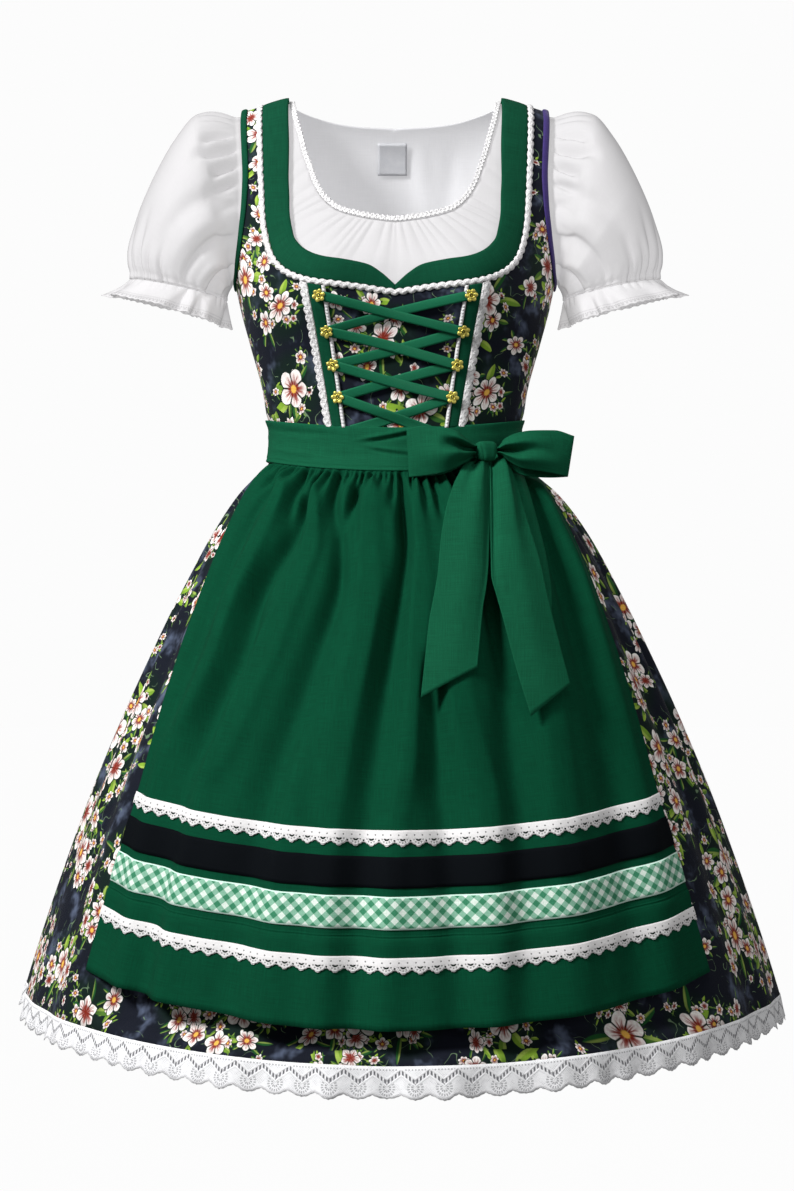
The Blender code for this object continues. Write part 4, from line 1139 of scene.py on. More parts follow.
def make_hooks():
    """Eight flower hooks, modelled once and copied each with its own mesh."""
    bpy.ops.object.select_all(action="DESELECT")
    made = []
    for petal in range(6):
        turn = petal * math.pi / 3 + 0.2
        place = [math.cos(turn) * 4.1 * MM, math.sin(turn) * 4.1 * MM, 1.2 * MM]
        bpy.ops.mesh.primitive_uv_sphere_add(segments=16, ring_count=10, radius=2.9 * MM, location=place)
        petal_piece = bpy.context.object
        petal_piece.scale = (1.0, 0.86, 0.42)
        petal_piece.rotation_euler = (0, -0.28, turn)
        made.append(petal_piece)
    ring = {"major_segments": 24, "minor_segments": 8, "major_radius": 2.4 * MM, "minor_radius": 0.6 * MM}
    bpy.ops.mesh.primitive_torus_add(location=(0, 0, 2.2 * MM), **ring)
    made.append(bpy.context.object)
    bpy.ops.mesh.primitive_uv_sphere_add(segments=14, ring_count=8, radius=MM, location=(0, 0, 1.2 * MM))
    made.append(bpy.context.object)
    for part in made:
        part.select_set(True)
    bpy.context.view_layer.objects.active = made[0]
    bpy.ops.object.join()
    bpy.ops.object.transform_apply(location=True, rotation=True, scale=True)
    bpy.ops.object.shade_smooth()
    first = bpy.context.object
    model = first.data
    bpy.data.objects.remove(first)
    for side, name in ((-1, "left"), (1, "right")):
        for row, (x, level) in enumerate(zip(HOOKS["x"], HOOKS["level"])):
            angle = angle_of(side * x, level)
            base = lifted(angle, level, HOOK_LIFT - 1)
            up = Vector((lifted(angle, level, HOOK_LIFT + 1) - base).tolist()).normalized()
            turned = Matrix.Rotation(row * 1.3 + side, 4, "Z")
            turned = up.to_track_quat("Z", "Y").to_matrix().to_4x4() @ turned
            mesh = model.copy()
            mesh.transform(Matrix.Translation(Vector((base * MM).tolist())) @ turned)
            node = f"hook_{name}_{row + 1}"
            piece_of(node + "_flower", mesh, "metal", node)


# --- skirt and its lace ---

SKIRT_FOLDS, SKIRT_GATHERS, SKIRT_TOP, SKIRT_HEM = 21, 88, BODICE_HEM - 0.6, -947
PRESSED_IN, FULLER_AT_SIDES = 9, 4.5
SKIRT_DEPTH = table(
    "level gathers folds",
    (-365, 0, 0), (-384, 2, 0.5), (-425, 2.2, 4), (-500, 0.8, 7), (-560, 0, 8), (-975, 0, 9),
)
SKIRT_CREASES = table(
    CREASE,
    # those beside the apron, as they show
    (-86, 1, -400, -960, 2.6, 0.9, -6, 1), (-77, -1, -430, -960, 2.2, 1, -8, 1),
    (-71, 1.5, -395, -860, 2, 0.9, 5, 0.3), (-64, 0, -470, -960, 2.4, 1.1, -6, 1),
    (63, 0, -450, -960, 2.4, 0.9, -7, 1), (69, 1, -395, -960, 2.2, 1, 5, 1),
    (76, -1.5, -420, -830, 2, 1.2, -8, 0.4), (85, -1, -400, -960, 2.4, 0.9, -6, 1),
    # those behind, alike
    (98, 2, -400, -900, 2.6, 1, -6, 0.7), (108, -2, -430, -960, 2.4, 1.2, -8, 1),
    (119, 1, -400, -960, 2.8, 0.9, 9, 1), (133, 3, -410, -780, 2.4, 1, -7, 0.2),
    (146, -2, -395, -960, 2.6, 1.1, 8, 1), (158, 1, -440, -960, 2.4, 1, -8, 1),
    (171, -1, -400, -900, 2.6, 1, 8, 0.8), (-174, 2, -420, -960, 2.4, 1.1, -7, 1),
    (-161, -2, -400, -960, 2.6, 0.9, 9, 1), (-149, 1, -440, -820, 2.4, 1.2, -8, 0.3),
    (-136, 2, -400, -960, 2.6, 1, 8, 1), (-123, -1, -420, -960, 2.6, 1, -8, 1),
    (-111, 1, -400, -930, 2.4, 1.1, 6, 0.7), (-98, -2, -410, -960, 2.4, 1, -6, 1),
)
HEM_LACE_DEPTH, HEM_LACE_PERIOD = 27.5, 27.0
CONE_TURN, CONE_REACH = 0.36, 1111  # the skirt laid flat: a part of a ring


def skirt_points(angle, level, out=0.0):
    """The skirt with its folds and gathers."""
    folds, gathers = read(SKIRT_DEPTH, level, "folds", "gathers")
    slow = wander(angle, (0.9, 3, 0.6), (0.5, 5, 2.0))
    furrow = 0.5 + 0.5 * np.cos(SKIRT_FOLDS * angle + slow)
    depth = folds * furrow * (0.7 + wander(angle, (0.3, 4, 1.0)))
    fine = 1 - gathered(SKIRT_GATHERS * angle + wander(angle, (1.6, 7, 0.3), (1.1, 12, 2.0)))
    depth = depth + gathers * fine * (1 + wander(angle, (0.35, 9, 1.2), (0.25, 17, 0.4)))
    # Under the apron it is pressed in, so that the apron's valleys stay clear of it.
    edge = read(APRON_EDGES, level, "angle")
    beside_apron = ease(np.abs(np.degrees(angle)) - edge, -9, 0)
    ridges = creases(SKIRT_CREASES, np.degrees(angle), level, True) * beside_apron
    pressed = (1 - beside_apron) * ease(level, -947, -920)
    pressed = pressed * (PRESSED_IN * ease(level, -372, -384) + PRESSED_IN * ease(level, -384, -425))
    fuller = FULLER_AT_SIDES * np.sin(angle) ** 2 * ease(level, -560, -760)
    return lifted(angle, level, out + fuller + ridges - depth - pressed)


def skirt_flat(angle, level):
    """Flat places of the skirt, cut as a part of a ring."""
    levels = np.linspace(SKIRT_TOP, -975, 60)
    steps = np.linalg.norm(np.diff(on_form(np.full(60, 1.2), levels), axis=0), axis=-1)
    from_top = np.concatenate([[0], np.cumsum(steps)])
    hem = np.interp(-SKIRT_HEM, -levels, from_top)
    reach = CONE_REACH - (hem - np.interp(-level, -levels, from_top))
    return np.stack([reach * np.sin(CONE_TURN * angle), -reach * np.cos(CONE_TURN * angle)], -1)


def make_skirt():
    columns = 420
    angles = np.linspace(-np.pi, np.pi, columns + 1)
    levels = np.concatenate([np.linspace(SKIRT_TOP, -440, 26), np.linspace(-440, SKIRT_HEM, 56)[1:]])
    angle, level = np.meshgrid(angles, levels)
    grid = skirt_points(angle[:, :-1], level[:, :-1])
    cloth("skirt", grid, skirt_flat(angle, level), "print", closed=True)


def make_hem_trim():
    teeth = 95
    columns = teeth * 12
    angles = np.linspace(-np.pi, np.pi, columns + 1)
    way = angles * teeth / (2 * np.pi)
    scallop = 1 - 0.17 * np.abs(np.cos(np.pi * way)) ** 2.4 + 0.035 * np.abs(np.sin(np.pi * way * 5))
    shares = even(9)
    deep = HEM_LACE_DEPTH * scallop + 3 * np.cos(2 * angles)
    level = SKIRT_HEM + 1.5 - shares[:, None] * deep[None, :]
    angle = np.broadcast_to(angles, level.shape)
    grid = skirt_points(angle[:, :-1], level[:, :-1], 0.6)
    # It hangs a little fuller than the skirt.
    ripple = shares[:, None] * 1.6 * np.sin(2 * np.pi * way * 0.61 + wander(angles, (1.2, 11, 0.4)))[None, :]
    grid = grid + lifted_way(angle[:, :-1], level[:, :-1]) * ripple[:, :-1, None]
    flat = np.stack([way * HEM_LACE_PERIOD + 0 * level, level - SKIRT_HEM - 1.5], -1)
    cloth("skirt_hem_lace", grid, flat, "hem lace", THIN_WALL, closed=True)


def lifted_way(angle, level):
    """The direction out of the form at each place."""
    return lifted(angle, level, 1.0) - lifted(angle, level, 0.0)


# --- apron ---

APRON_EDGES = table(
    "level angle rise",
    (-384, 68, 0), (-420, 64, 4), (-500, 59.5, 9), (-580, 56.5, 13), (-680, 54, 16), (-750, 53, 18),
    (-915, 53, 22),
)
APRON_TOP, APRON_HEM, APRON_TOP_HALF = -382, -915, 146.6
APRON_FLAT_HALF = float(ring_length(np.radians(53.0), -800.0))  # its half width laid flat
APRON_LIFT = table(
    "level lift",
    (-382, 1.2), (-385, 2.6), (-389, 6), (-394, 7.4), (-404, 7.6), (-430, 6.2), (-480, 5), (-600, 4.2),
    (-915, 3.6),
)
APRON_TRIMS = (
    # piece, finish, upper level, lower level, how far it stands off the apron
    ("apron_lace_upper", "apron lace", -735, -750, 1.3),
    ("apron_ribbon_black", "black", -759, -787.5, 1.0),
    ("apron_ribbon_gingham", "gingham", -795, -825, 1.2),
    ("apron_lace_lower", "apron lace", -850, -865, 1.3),
)
TUCK_LEVEL, FAN_PERIOD = -830.5, 15.0
APRON_FORWARD, APRON_NEAREST, APRON_FARTHEST = 4.0, 1.8, 11  # how far off the form its cloth lies
FOLDS_DEEP, GATHERS_DEEP = 2.7, 2.5  # how many times as deep as in their tables
RIDGES_HANG = 0.22  # how much lower the cross lines hang on a ridge, for its height
# Each gather under the band: its place round the waist, depth, width, length and lean.
APRON_GATHERS = table(
    "at depth width length lean",
    (-139, 1.6, 2.2, 12, 0), (-132, 1.2, 1.8, 10, 0), (-126, 2.6, 2.6, 22, 0.05), (-120, 1.4, 1.8, 10, 0),
    (-114.5, 3, 2.6, 26, 0.1), (-105, 2.6, 2.4, 20, 0.1), (-98, 1.8, 2, 12, 0), (-89.4, 5.2, 3.6, 48, 0.12),
    (-80.4, 2.6, 2, 16, 0), (-76, 1.6, 1.6, 9, 0), (-70.7, 4.6, 2.8, 36, -0.05), (-62, 3, 2.2, 20, 0.05),
    (-53, 5.2, 3.6, 42, 0.12), (-48, 1.6, 1.6, 10, 0), (-43.5, 3, 2, 17, 0), (-39.4, 2.2, 1.7, 12, 0),
    (-34.6, 3.2, 2.1, 19, 0), (-28.7, 5, 2.6, 42, -0.1), (-21, 3.4, 2.2, 22, -0.1), (-16.8, 2, 1.6, 12, 0),
    (-12, 3, 2, 15, 0), (-7, 2.6, 1.9, 13, 0), (-2, 4.2, 2.2, 26, 0), (5, 5.6, 3.2, 54, 0.04),
    (10.5, 1.8, 1.6, 11, 0), (15, 4, 2.2, 26, -0.05), (22, 4, 2.4, 30, 0.04), (31, 5, 3, 38, 0.08),
    (39, 3, 2.2, 17, 0), (48, 4.8, 2.8, 44, 0.1), (57, 3.6, 2.4, 24, 0.05), (66, 4.6, 2.8, 36, 0),
    (74, 3, 2.2, 18, 0), (83, 4.4, 2.8, 40, -0.05), (92, 3.2, 2.2, 22, 0), (101, 4.6, 2.8, 46, -0.08),
    (110, 3, 2.4, 20, -0.05), (119, 4, 2.6, 34, -0.1), (128, 3, 2.4, 24, -0.1), (138, 2, 2.2, 14, 0),
)
# The long folds: each runs through these levels at these distances from the middle.
APRON_FOLDS = fold_lines(
    (
        (-388, -88, 0, 6), (-421, -92, -4.5, 6, 7), (-443, -96, -6, 8), (-480, -117, -7.5, 10),
        (-518, -137, -8.25, 11), (-551, -146, -7.5, 13), (-584, -154, -6.75, 14), (-626, -172, -6, 14),
        (-700, -196, -4.5, 15), (-915, -240, -3, 16),
    ),
    (
        (-392, -82, 0, 6), (-420, -80, 3, 6), (-457, -80, 5.25, 7, 8), (-496, -92, 6, 8, 10),
        (-535, -108, 6.75, 10, 11), (-573, -124, 6.75, 11, 13), (-611, -141, 6, 12, 14),
        (-643, -153, 5.25, 13, 14), (-685, -174, 4.5, 14, 15), (-712, -190, 3.75, 15), (-915, -225, 3, 15),
    ),
    (
        (-388, -58, 0, 6), (-426, -58, -2, 6), (-469, -53, -4.6, 8, 7), (-500, -55, -6.5, 10, 9),
        (-540, -66, -6.5, 12), (-567, -75, -6, 14, 13), (-600, -86, -6, 15), (-664, -107, -5.5, 18, 17),
        (-717, -124, -5, 20, 19), (-780, -140, -4, 22, 20), (-915, -165, -3, 24, 22),
    ),
    (
        (-386, -27, 0, 4, 8), (-400, -26, 2.5, 5, 9), (-438, -28, 3.5, 6, 12), (-485, -28, 4.5, 7, 15),
        (-524, -29, 5, 8, 17), (-562, -34, 5, 10, 18), (-600, -42, 4.5, 13, 19), (-638, -50, 4, 15, 20),
        (-681, -54, 3.5, 17, 20), (-717, -57, 3, 18, 20), (-915, -70, 2.5, 20),
    ),
    (
        (-390, 7, 0, 6), (-430, 8, -3, 6), (-464, 12, -4.5, 8, 7), (-502, 7, -6, 10, 9),
        (-535, 0, -6.5, 12, 11), (-573, -6, -6.5, 14, 13), (-610, -11, -6, 15), (-653, -16, -5.5, 17, 16),
        (-695, -22, -4.5, 18, 17), (-760, -30, -4, 20, 18), (-915, -40, -3, 20),
    ),
    (
        (-392, 15, 0, 5, 6), (-410, 17, 2.5, 5, 8), (-454, 20, 3.5, 6, 11), (-502, 21, 4.5, 7, 14),
        (-540, 20, 4.5, 8, 15), (-578, 19, 4.5, 9, 16), (-621, 18, 4, 11, 16), (-664, 14, 3.5, 13, 16),
        (-712, 2, 3, 15, 16), (-800, -6, 2.5, 16, 18), (-915, -12, 2, 18),
    ),
    (
        (-388, -112, 0, 6), (-410, -113, 3, 6), (-463, -132, 4.5, 7), (-502, -149, 5.25, 8),
        (-535, -162, 4.5, 9), (-578, -174, 3.75, 10), (-622, -192, 3.75, 10), (-695, -226, 3, 12),
        (-915, -262, 2.25, 14),
    ),
    (
        (-392, -122, 0, 4), (-410, -126, -1.9, 4, 5), (-450, -146, -2.6, 6), (-500, -168, -2.6, 8),
        (-560, -190, -2.2, 9), (-640, -214, -1.5, 10), (-915, -250, -1.1, 12),
    ),
    (
        (-430, 88, 0, 8), (-470, 90, -5, 8), (-520, 93, -6, 9, 10), (-566, 101, -6, 12, 13),
        (-620, 110, -5, 16, 17), (-690, 114, -3.5, 19), (-800, 118, -2.5, 20), (-915, 120, -2, 20),
    ),
    (
        (-400, 56, 0, 10, 12), (-460, 58, 3, 14, 16), (-560, 60, 4, 16), (-600, 60, 3.5, 16),
        (-640, 66, 3.5, 17, 18), (-680, 80, 3.5, 18), (-720, 92, 3, 20), (-915, 100, 2, 20),
    ),
    (
        (-560, 28, 0, 10), (-600, 34, -4.5, 12, 11), (-637, 36, -5.5, 14, 13), (-675, 39, -5.5, 15),
        (-717, 46, -5, 17, 16), (-780, 53, -4, 18), (-915, 60, -3, 20),
    ),
    (
        (-392, 134, 0, 6, 8), (-411, 145, 2, 6, 8), (-451, 160, 3, 8, 10), (-509, 186, 3.5, 11, 13),
        (-566, 203, 3, 13, 15), (-630, 220, 2.5, 16, 18), (-700, 238, 2, 18), (-915, 265, 1.5, 18),
    ),
    (
        (-410, 134, 0, 5), (-457, 150, -4.5, 8), (-519, 170, -5.5, 10, 11), (-557, 179, -5, 12, 13),
        (-640, 198, -3.5, 16), (-720, 212, -3, 18), (-915, 232, -2, 20),
    ),
    ((-388, -38, 0, 4), (-412, -38, -1.4, 4), (-440, -38, -1.6, 5), (-480, -40, 0, 6)),
    ((-560, 140, 0, 12), (-620, 148, 3, 15), (-700, 156, 3, 18), (-915, 172, 2, 20)),
    ((-640, -88, 0, 10), (-700, -96, 2.5, 14), (-780, -104, 3, 18), (-915, -118, 2, 20)),
    ((-400, 112, 0, 8), (-440, 118, 3, 9, 10), (-500, 130, 3, 12, 13), (-560, 140, 0, 14)),
)


def gather_depth(around, down):
    """How far the short troughs under the band go in."""
    total = 0.0
    for at, depth, width, length, lean in zip(*APRON_GATHERS.values()):
        wide = width * (0.8 + 0.7 * down / length)
        come = ease(down, 0, 5) * (1 - ease(down, 0.6 * length, 2.2 * length))
        total = total + depth * come * np.exp(-(((around - at - lean * down) / wide) ** 2))
    return total


def apron_points(place, centre_level, lift=0.0):
    """The apron at a place from -1 to 1 across it, on the line that crosses its middle at a level."""
    place, centre_level = np.broadcast_arrays(place, np.asarray(centre_level, float))
    edge, rise = read(APRON_EDGES, centre_level, "angle", "rise")
    angle = place * np.radians(edge) - off_middle(centre_level) / half_width(centre_level)
    level = centre_level + rise * place**2
    along = on_form(angle, level)[..., 0]
    broad = FOLDS_DEEP * folds(APRON_FOLDS, along, centre_level)
    forward = APRON_FORWARD * ease(np.abs(place), 1.0, 0.6) * ease(centre_level, -386, -420)
    broad = broad * (0.25 + 0.75 * ease(np.abs(place), 1.0, 0.9))
    out = read(APRON_LIFT, centre_level, "lift") + broad + forward
    out = out - GATHERS_DEEP * gather_depth(place * APRON_TOP_HALF, APRON_TOP - 2 - centre_level)
    # The skirt behind it leaves room for valleys between its waist and hem.
    room = 8 * ease(centre_level, -383, -390) + 6.5 * ease(centre_level, -392, -430)
    least = APRON_NEAREST - room * ease(centre_level, -915, -895) * ease(np.abs(place), 1.0, 0.9)
    out = np.where(out < least, least + 2 * np.tanh((out - least) / 2), out)
    most = APRON_FARTHEST
    out = np.where(out > most, most + 3.5 * np.tanh((out - most) / 3.5), out) + lift
    under = TUCK_LEVEL - centre_level
    out = out + 1.6 * ease(under, -0.6, 0.6) * (1 - ease(under, 3, 24))
    out = out - 1.4 * np.exp(-(((under - 1.6) / 1.3) ** 2))
    # Its cross lines hang lower on the ridges than in the valleys.
    level = level - RIDGES_HANG * broad * ease(centre_level, -500, -760)
    return lifted(angle, level, out)


def apron_flat(place, centre_level):
    """Flat places of the apron: it is a plain rectangle, drawn in at the waist."""
    return np.stack([place * APRON_FLAT_HALF, centre_level * 1.06], -1)


def make_apron():
    places = np.linspace(-1, 1, 321)
    # Its rows lie closest at the waist and at the tuck.
    levels = np.concatenate(
        [
            np.linspace(APRON_TOP, -396, 9),
            np.linspace(-396, -440, 18)[1:],
            np.linspace(-440, -826, 52)[1:],
            np.linspace(-826, -834, 14)[1:],
            np.linspace(-834, APRON_HEM, 14)[1:],
        ]
    )
    place, level = np.meshgrid(places, levels)
    cloth("apron", apron_points(place, level), apron_flat(place, level), "apron")
    for name, finish, top, foot, lift in APRON_TRIMS:
        is_lace = finish == "apron lace"
        places = np.linspace(-1, 1, 1001 if is_lace else 321)
        shares = even(9)
        # Along the strip: between the way round and the way straight across.
        straight = apron_points(places, np.full(len(places), float(top)))[:, 0]
        way = (places * APRON_FLAT_HALF + straight) / 2
        aside = np.abs((way / FAN_PERIOD) % 1 - 0.5) * 2
        teeth = 1 - 0.30 * aside**0.9 + 0.05 * np.abs(np.sin(np.pi * aside * 2.5)) if is_lace else 1 + 0 * way
        level = top + shares[:, None] * (foot - top) * teeth[None, :]
        grid = apron_points(places[None, :] + 0 * level, level, lift + 0.5 * np.sin(np.pi * shares)[:, None])
        flat = np.stack([way[None, :] + 0 * level, level - top], -1)
        cloth(name, grid, flat, finish, THIN_WALL)


# --- waistband and bow ---

WAISTBAND_LIFT, BAND_TOP, BAND_FOOT, BAND_RADIUS = 2.8, -338.5, -384.5, 132
BAND_CREASES = table(
    CREASE,
    # long soft wrinkles round the band: places are levels, and levels are angles from the front
    (-353.5, 15, -20, 12, 1.6, 0.6, 2.2, 1), (-356.5, 14, -17, 12, 1.8, 0.6, -2.2, 1),
    (-361, -8, -14, 10, 2, 0.5, -1.8, 1), (-358, -8, -16, 10, 2, 0.5, 1.2, 1),
    (-366, -3, 12, -48, 3, 0.6, -0.7, 0.1), (-347, -3, -20, -75, 2.6, 0.6, -0.8, 0.2),
    (-372, 3, -30, -80, 2.6, 0.6, 0.8, 0.2), (-360, 5, 100, 60, 2.8, 0.6, 1.4, 0.2),
    (-370, 4, 170, 90, 2.8, 0.6, -1.4, 0.2), (-351, -5, 175, 110, 2.6, 0.6, 1.5, 0.2),
    (-358, 5, -80, -150, 2.8, 0.6, 1.5, 0.2), (-372, -4, -95, -170, 2.6, 0.6, -1.5, 0.2),
)
BAND_SEAM_LEVEL = -381.4
KNOT_CENTRE = (92.7, -103, -378.3)
KNOT_SIZE = (25, 17, 21)
KNOT_TURN = 24  # degrees about the upright, so that it lies on the side front
# Each loop from the knot to its far end: its upper and lower edge, the depth of its middle, and
# how far its two layers stand apart.
LOOP_LEFT = table(
    "along top_x top_z foot_x foot_z middle_y half_depth",
    (0, 92, -372, 90, -384, -97, 3.5), (0.14, 82, -371.6, 80, -384, -101, 5),
    (0.3, 74, -366.8, 72.5, -389, -108, 8), (0.5, 62, -358.6, 61.5, -395.4, -115, 11),
    (0.7, 46, -354.6, 46, -401.4, -118, 11.5), (0.88, 26, -353.8, 28, -404, -117, 10),
    (1, 11.5, -356.2, 14, -405.2, -116, 8),
)
LOOP_RIGHT = table(
    "along top_x top_z foot_x foot_z middle_y half_depth",
    (0, 94, -373, 95, -381.5, -96, 3.5), (0.12, 104.5, -373, 106, -381, -98, 5),
    (0.25, 111, -365.8, 116, -388.6, -100, 8), (0.4, 120.5, -360.8, 129, -395.4, -101, 11),
    (0.6, 139, -357, 145, -397.6, -99, 12.5), (0.84, 163, -356.4, 166, -400.6, -95, 11),
    (1, 183.5, -362, 177, -402.6, -92, 8),
)
# Places run from the upper edge at 0 to the lower one at 1, levels from the knot at 0 to the end at -1.
LOOP_LEFT_FOLDS = fold_lines(
    (
        (0, 0.3, -4, 0.1), (-0.18, 0.4, -8, 0.11, 0.12), (-0.38, 0.43, -9, 0.13, 0.1),
        (-0.52, 0.38, -6, 0.15, 0.1), (-0.72, 0.33, 0, 0.16, 0.14),
    ),
    (
        (0, 0.62, 2, 0.12, 0.16), (-0.25, 0.62, 5, 0.1, 0.2), (-0.5, 0.6, 5, 0.12, 0.24),
        (-0.8, 0.58, 2, 0.2, 0.26), (-1, 0.55, 0, 0.2, 0.26),
    ),
    ((0, 0.08, 2, 0.08), (-0.25, 0.12, 5, 0.1), (-0.45, 0.16, 4, 0.12), (-0.75, 0.2, 0, 0.16)),
    ((0, 0.9, -2, 0.08), (-0.3, 0.9, -3, 0.1), (-0.6, 0.9, 0, 0.1)),
)
LOOP_RIGHT_FOLDS = fold_lines(
    (
        (0, 0.4, -3, 0.12), (-0.16, 0.52, -6, 0.12), (-0.32, 0.5, -6, 0.12), (-0.5, 0.47, -3, 0.14),
        (-0.72, 0.45, 0, 0.14),
    ),
    ((0, 0.2, 2, 0.12), (-0.25, 0.24, 4, 0.14, 0.12), (-0.55, 0.28, 3, 0.16), (-0.85, 0.3, 0, 0.16)),
    ((0, 0.76, 2, 0.12), (-0.25, 0.74, 4, 0.14), (-0.6, 0.72, 3, 0.16, 0.18), (-0.95, 0.7, 0, 0.16, 0.18)),
)
TAIL_LEFT = table(
    "left_x left_z right_x right_z lift",
    (83, -378, 90, -378, 9), (80, -387, 87, -388, 13), (67, -404, 91, -402, 15),
    (56.3, -424, 91.4, -424, 15), (48.5, -447, 90.8, -450, 14), (43.6, -475, 89.6, -478, 13),
    (40, -512, 88.2, -505, 13), (36, -535, 86, -524, 13), (31.9, -557, 83, -542, 12.5),
    (28, -592, 79.6, -572, 12), (24, -629, 76.6, -601, 12),
)
TAIL_RIGHT = table(
    "left_x left_z main_x right_x right_z lift",
    (95, -380, 98, 103, -380, 9), (93.6, -390, 98.5, 110, -389, 14), (92, -405, 108, 123, -404, 17),
    (91, -440, 117.6, 132.5, -436, 17), (90.6, -480, 127.6, 140.5, -467, 16),
    (90.3, -512, 136.5, 146.5, -500, 16), (95, -535, 142, 149.5, -530, 15.5),
    (100.8, -557, 148, 149.5, -556, 15), (112, -601, 158, 158.4, -596, 14),
    (125.6, -648, 163.4, 163.6, -618, 14),
)
# Places run from 0 to 1 across a tail.
TAIL_LEFT_FOLDS = fold_lines(
    ((-380, 0.45, -3, 0.16), (-392, 0.42, -5, 0.14), (-412, 0.4, -2, 0.12), (-440, 0.4, 0, 0.12)),
    (
        (-385, 0.75, 0, 0.16), (-410, 0.72, 4, 0.22, 0.14), (-460, 0.66, 3.5, 0.3, 0.2),
        (-560, 0.6, 2, 0.3), (-630, 0.55, 0, 0.3),
    ),
    ((-395, 0.96, 0, 0.08), (-430, 0.96, -3, 0.08), (-520, 0.97, -1.5, 0.08), (-600, 0.97, 0, 0.08)),
)
TAIL_RIGHT_FOLDS = fold_lines(
    (
        (-382, 0.3, 0, 0.16, 0.12), (-396, 0.34, 5, 0.18, 0.1), (-430, 0.38, 6, 0.22, 0.12),
        (-480, 0.42, 4, 0.26, 0.16), (-560, 0.5, 2.5, 0.3), (-640, 0.55, 0, 0.3),
    ),
    ((-384, 0.08, 0, 0.06), (-410, 0.06, -5, 0.07), (-470, 0.05, -4, 0.06), (-540, 0.05, 0, 0.06)),
)


def make_waistband():
    columns = 260
    angles = np.linspace(-np.pi, np.pi, columns + 1)
    shares = even(41)
    angle, share = np.meshgrid(angles, shares)
    level = BAND_TOP + share * (BAND_FOOT - BAND_TOP)
    out = WAISTBAND_LIFT + crowned(share, 1.6)
    out = out + creases(BAND_CREASES, level, np.degrees(angle))
    out = out - 0.7 * np.exp(-(((level - BAND_SEAM_LEVEL) / 0.7) ** 2))
    grid = lifted(angle, level, out)[:, :-1]
    flat = np.stack([angle * BAND_RADIUS, level], -1)
    cloth("apron_waistband", grid, flat, "sash", 1.2, closed=True)


def make_loop(name, outline, rows):
    """A loop of the sash: out from the knot in front, round its soft end and back behind."""
    turn = np.pi * np.linspace(0.02, 0.98, 121)[None, :]
    share = even(41)[:, None]
    along, front = np.sin(turn) ** 0.8, np.cos(turn)
    edge = {column: curve(outline["along"], values, along) for column, values in outline.items()}
    x = edge["top_x"] + (edge["foot_x"] - edge["top_x"]) * share
    behind = 0.5 - 0.5 * front
    z = edge["top_z"] + (edge["foot_z"] - edge["top_z"]) * share
    hang = 7.0 if outline is LOOP_RIGHT else 1.5  # how much lower the layer behind hangs
    z = z - hang * behind * share * np.sin(np.pi * along * 0.92)
    crown = 0.62 + 0.38 * (1 - (2 * share - 1) ** 2)
    soft = np.abs(front) ** 0.6 * np.sign(front)
    pleats = 1.45 * folds(rows, share, -along) * np.clip(front * 3, -0.5, 1)
    y = edge["middle_y"] - edge["half_depth"] * crown * soft - pleats
    grid = np.stack(np.broadcast_arrays(x, y, z), -1)
    grid = grid[:, ::-1] if outline is LOOP_LEFT else grid
    cloth(name, grid, flat_of(grid), "sash", SASH_WALL)


def make_tail(name, outline, rows):
    shares = even(61)[None, :]
    fine = {column: finer(values, 9)[:, None] for column, values in outline.items()}
    x = fine["left_x"] * (1 - shares) + fine["right_x"] * shares
    z = fine["left_z"] * (1 - shares) + fine["right_z"] * shares
    out = fine["lift"] + 4.5 * ease(z, -385, -420) + 1.2 * np.sin(np.pi * shares) + folds(rows, shares, z)
    if "main_x" in fine:
        # Past this edge the narrower layer behind shows.
        step = ease(x - fine["main_x"], 0.0, 1.6)
        out = out - step * 7.5 + step * 2.0 * np.sin(np.pi * np.clip((x - fine["main_x"]) / 14, 0, 1))
    grid = front_place(x, z, out)
    cloth(name, grid, np.stack([x, z], -1), "sash", SASH_WALL)


def make_knot():
    """The part of the sash that goes round the bow: a soft block with upright creases."""
    turn, height = np.meshgrid(np.linspace(0, 2 * np.pi, 73), np.linspace(math.pi / 2, -math.pi / 2, 33))
    sine, cosine = np.sin(height), np.cos(height)

    def drawn(value, power):
        return np.sign(value) * np.abs(value) ** power

    x, y = drawn(np.sin(turn), 0.7) * drawn(cosine, 0.55), -drawn(np.cos(turn), 0.7) * drawn(cosine, 0.55)
    z = drawn(sine, 0.75)
    creased = 1 - 0.12 * np.exp(-(((x + 0.62 + 0.10 * z) / 0.10) ** 2))
    creased = creased - 0.05 * np.exp(-(((x - 0.2) / 0.25) ** 2))
    taper = 0.86 + 0.14 * z
    local = np.stack([x * taper, y * creased, z], -1) * np.array(KNOT_SIZE) / 2
    turned = math.radians(KNOT_TURN)
    sine, cosine = math.sin(turned), math.cos(turned)
    rotation = np.array(((cosine, -sine, 0), (sine, cosine, 0), (0, 0, 1)))
    grid = (local @ rotation.T + np.array(KNOT_CENTRE))[:, :-1]
    flat = np.stack([turn * 12, height * 12], -1)
    cloth("bow_knot", grid, flat, "sash", SASH_WALL, closed=True)


def make_bow():
    make_knot()
    make_loop("bow_loop_left", LOOP_LEFT, LOOP_LEFT_FOLDS)
    make_loop("bow_loop_right", LOOP_RIGHT, LOOP_RIGHT_FOLDS)
    make_tail("bow_tail_left", TAIL_LEFT, TAIL_LEFT_FOLDS)
    make_tail("bow_tail_right", TAIL_RIGHT, TAIL_RIGHT_FOLDS)


# --- blouse ---

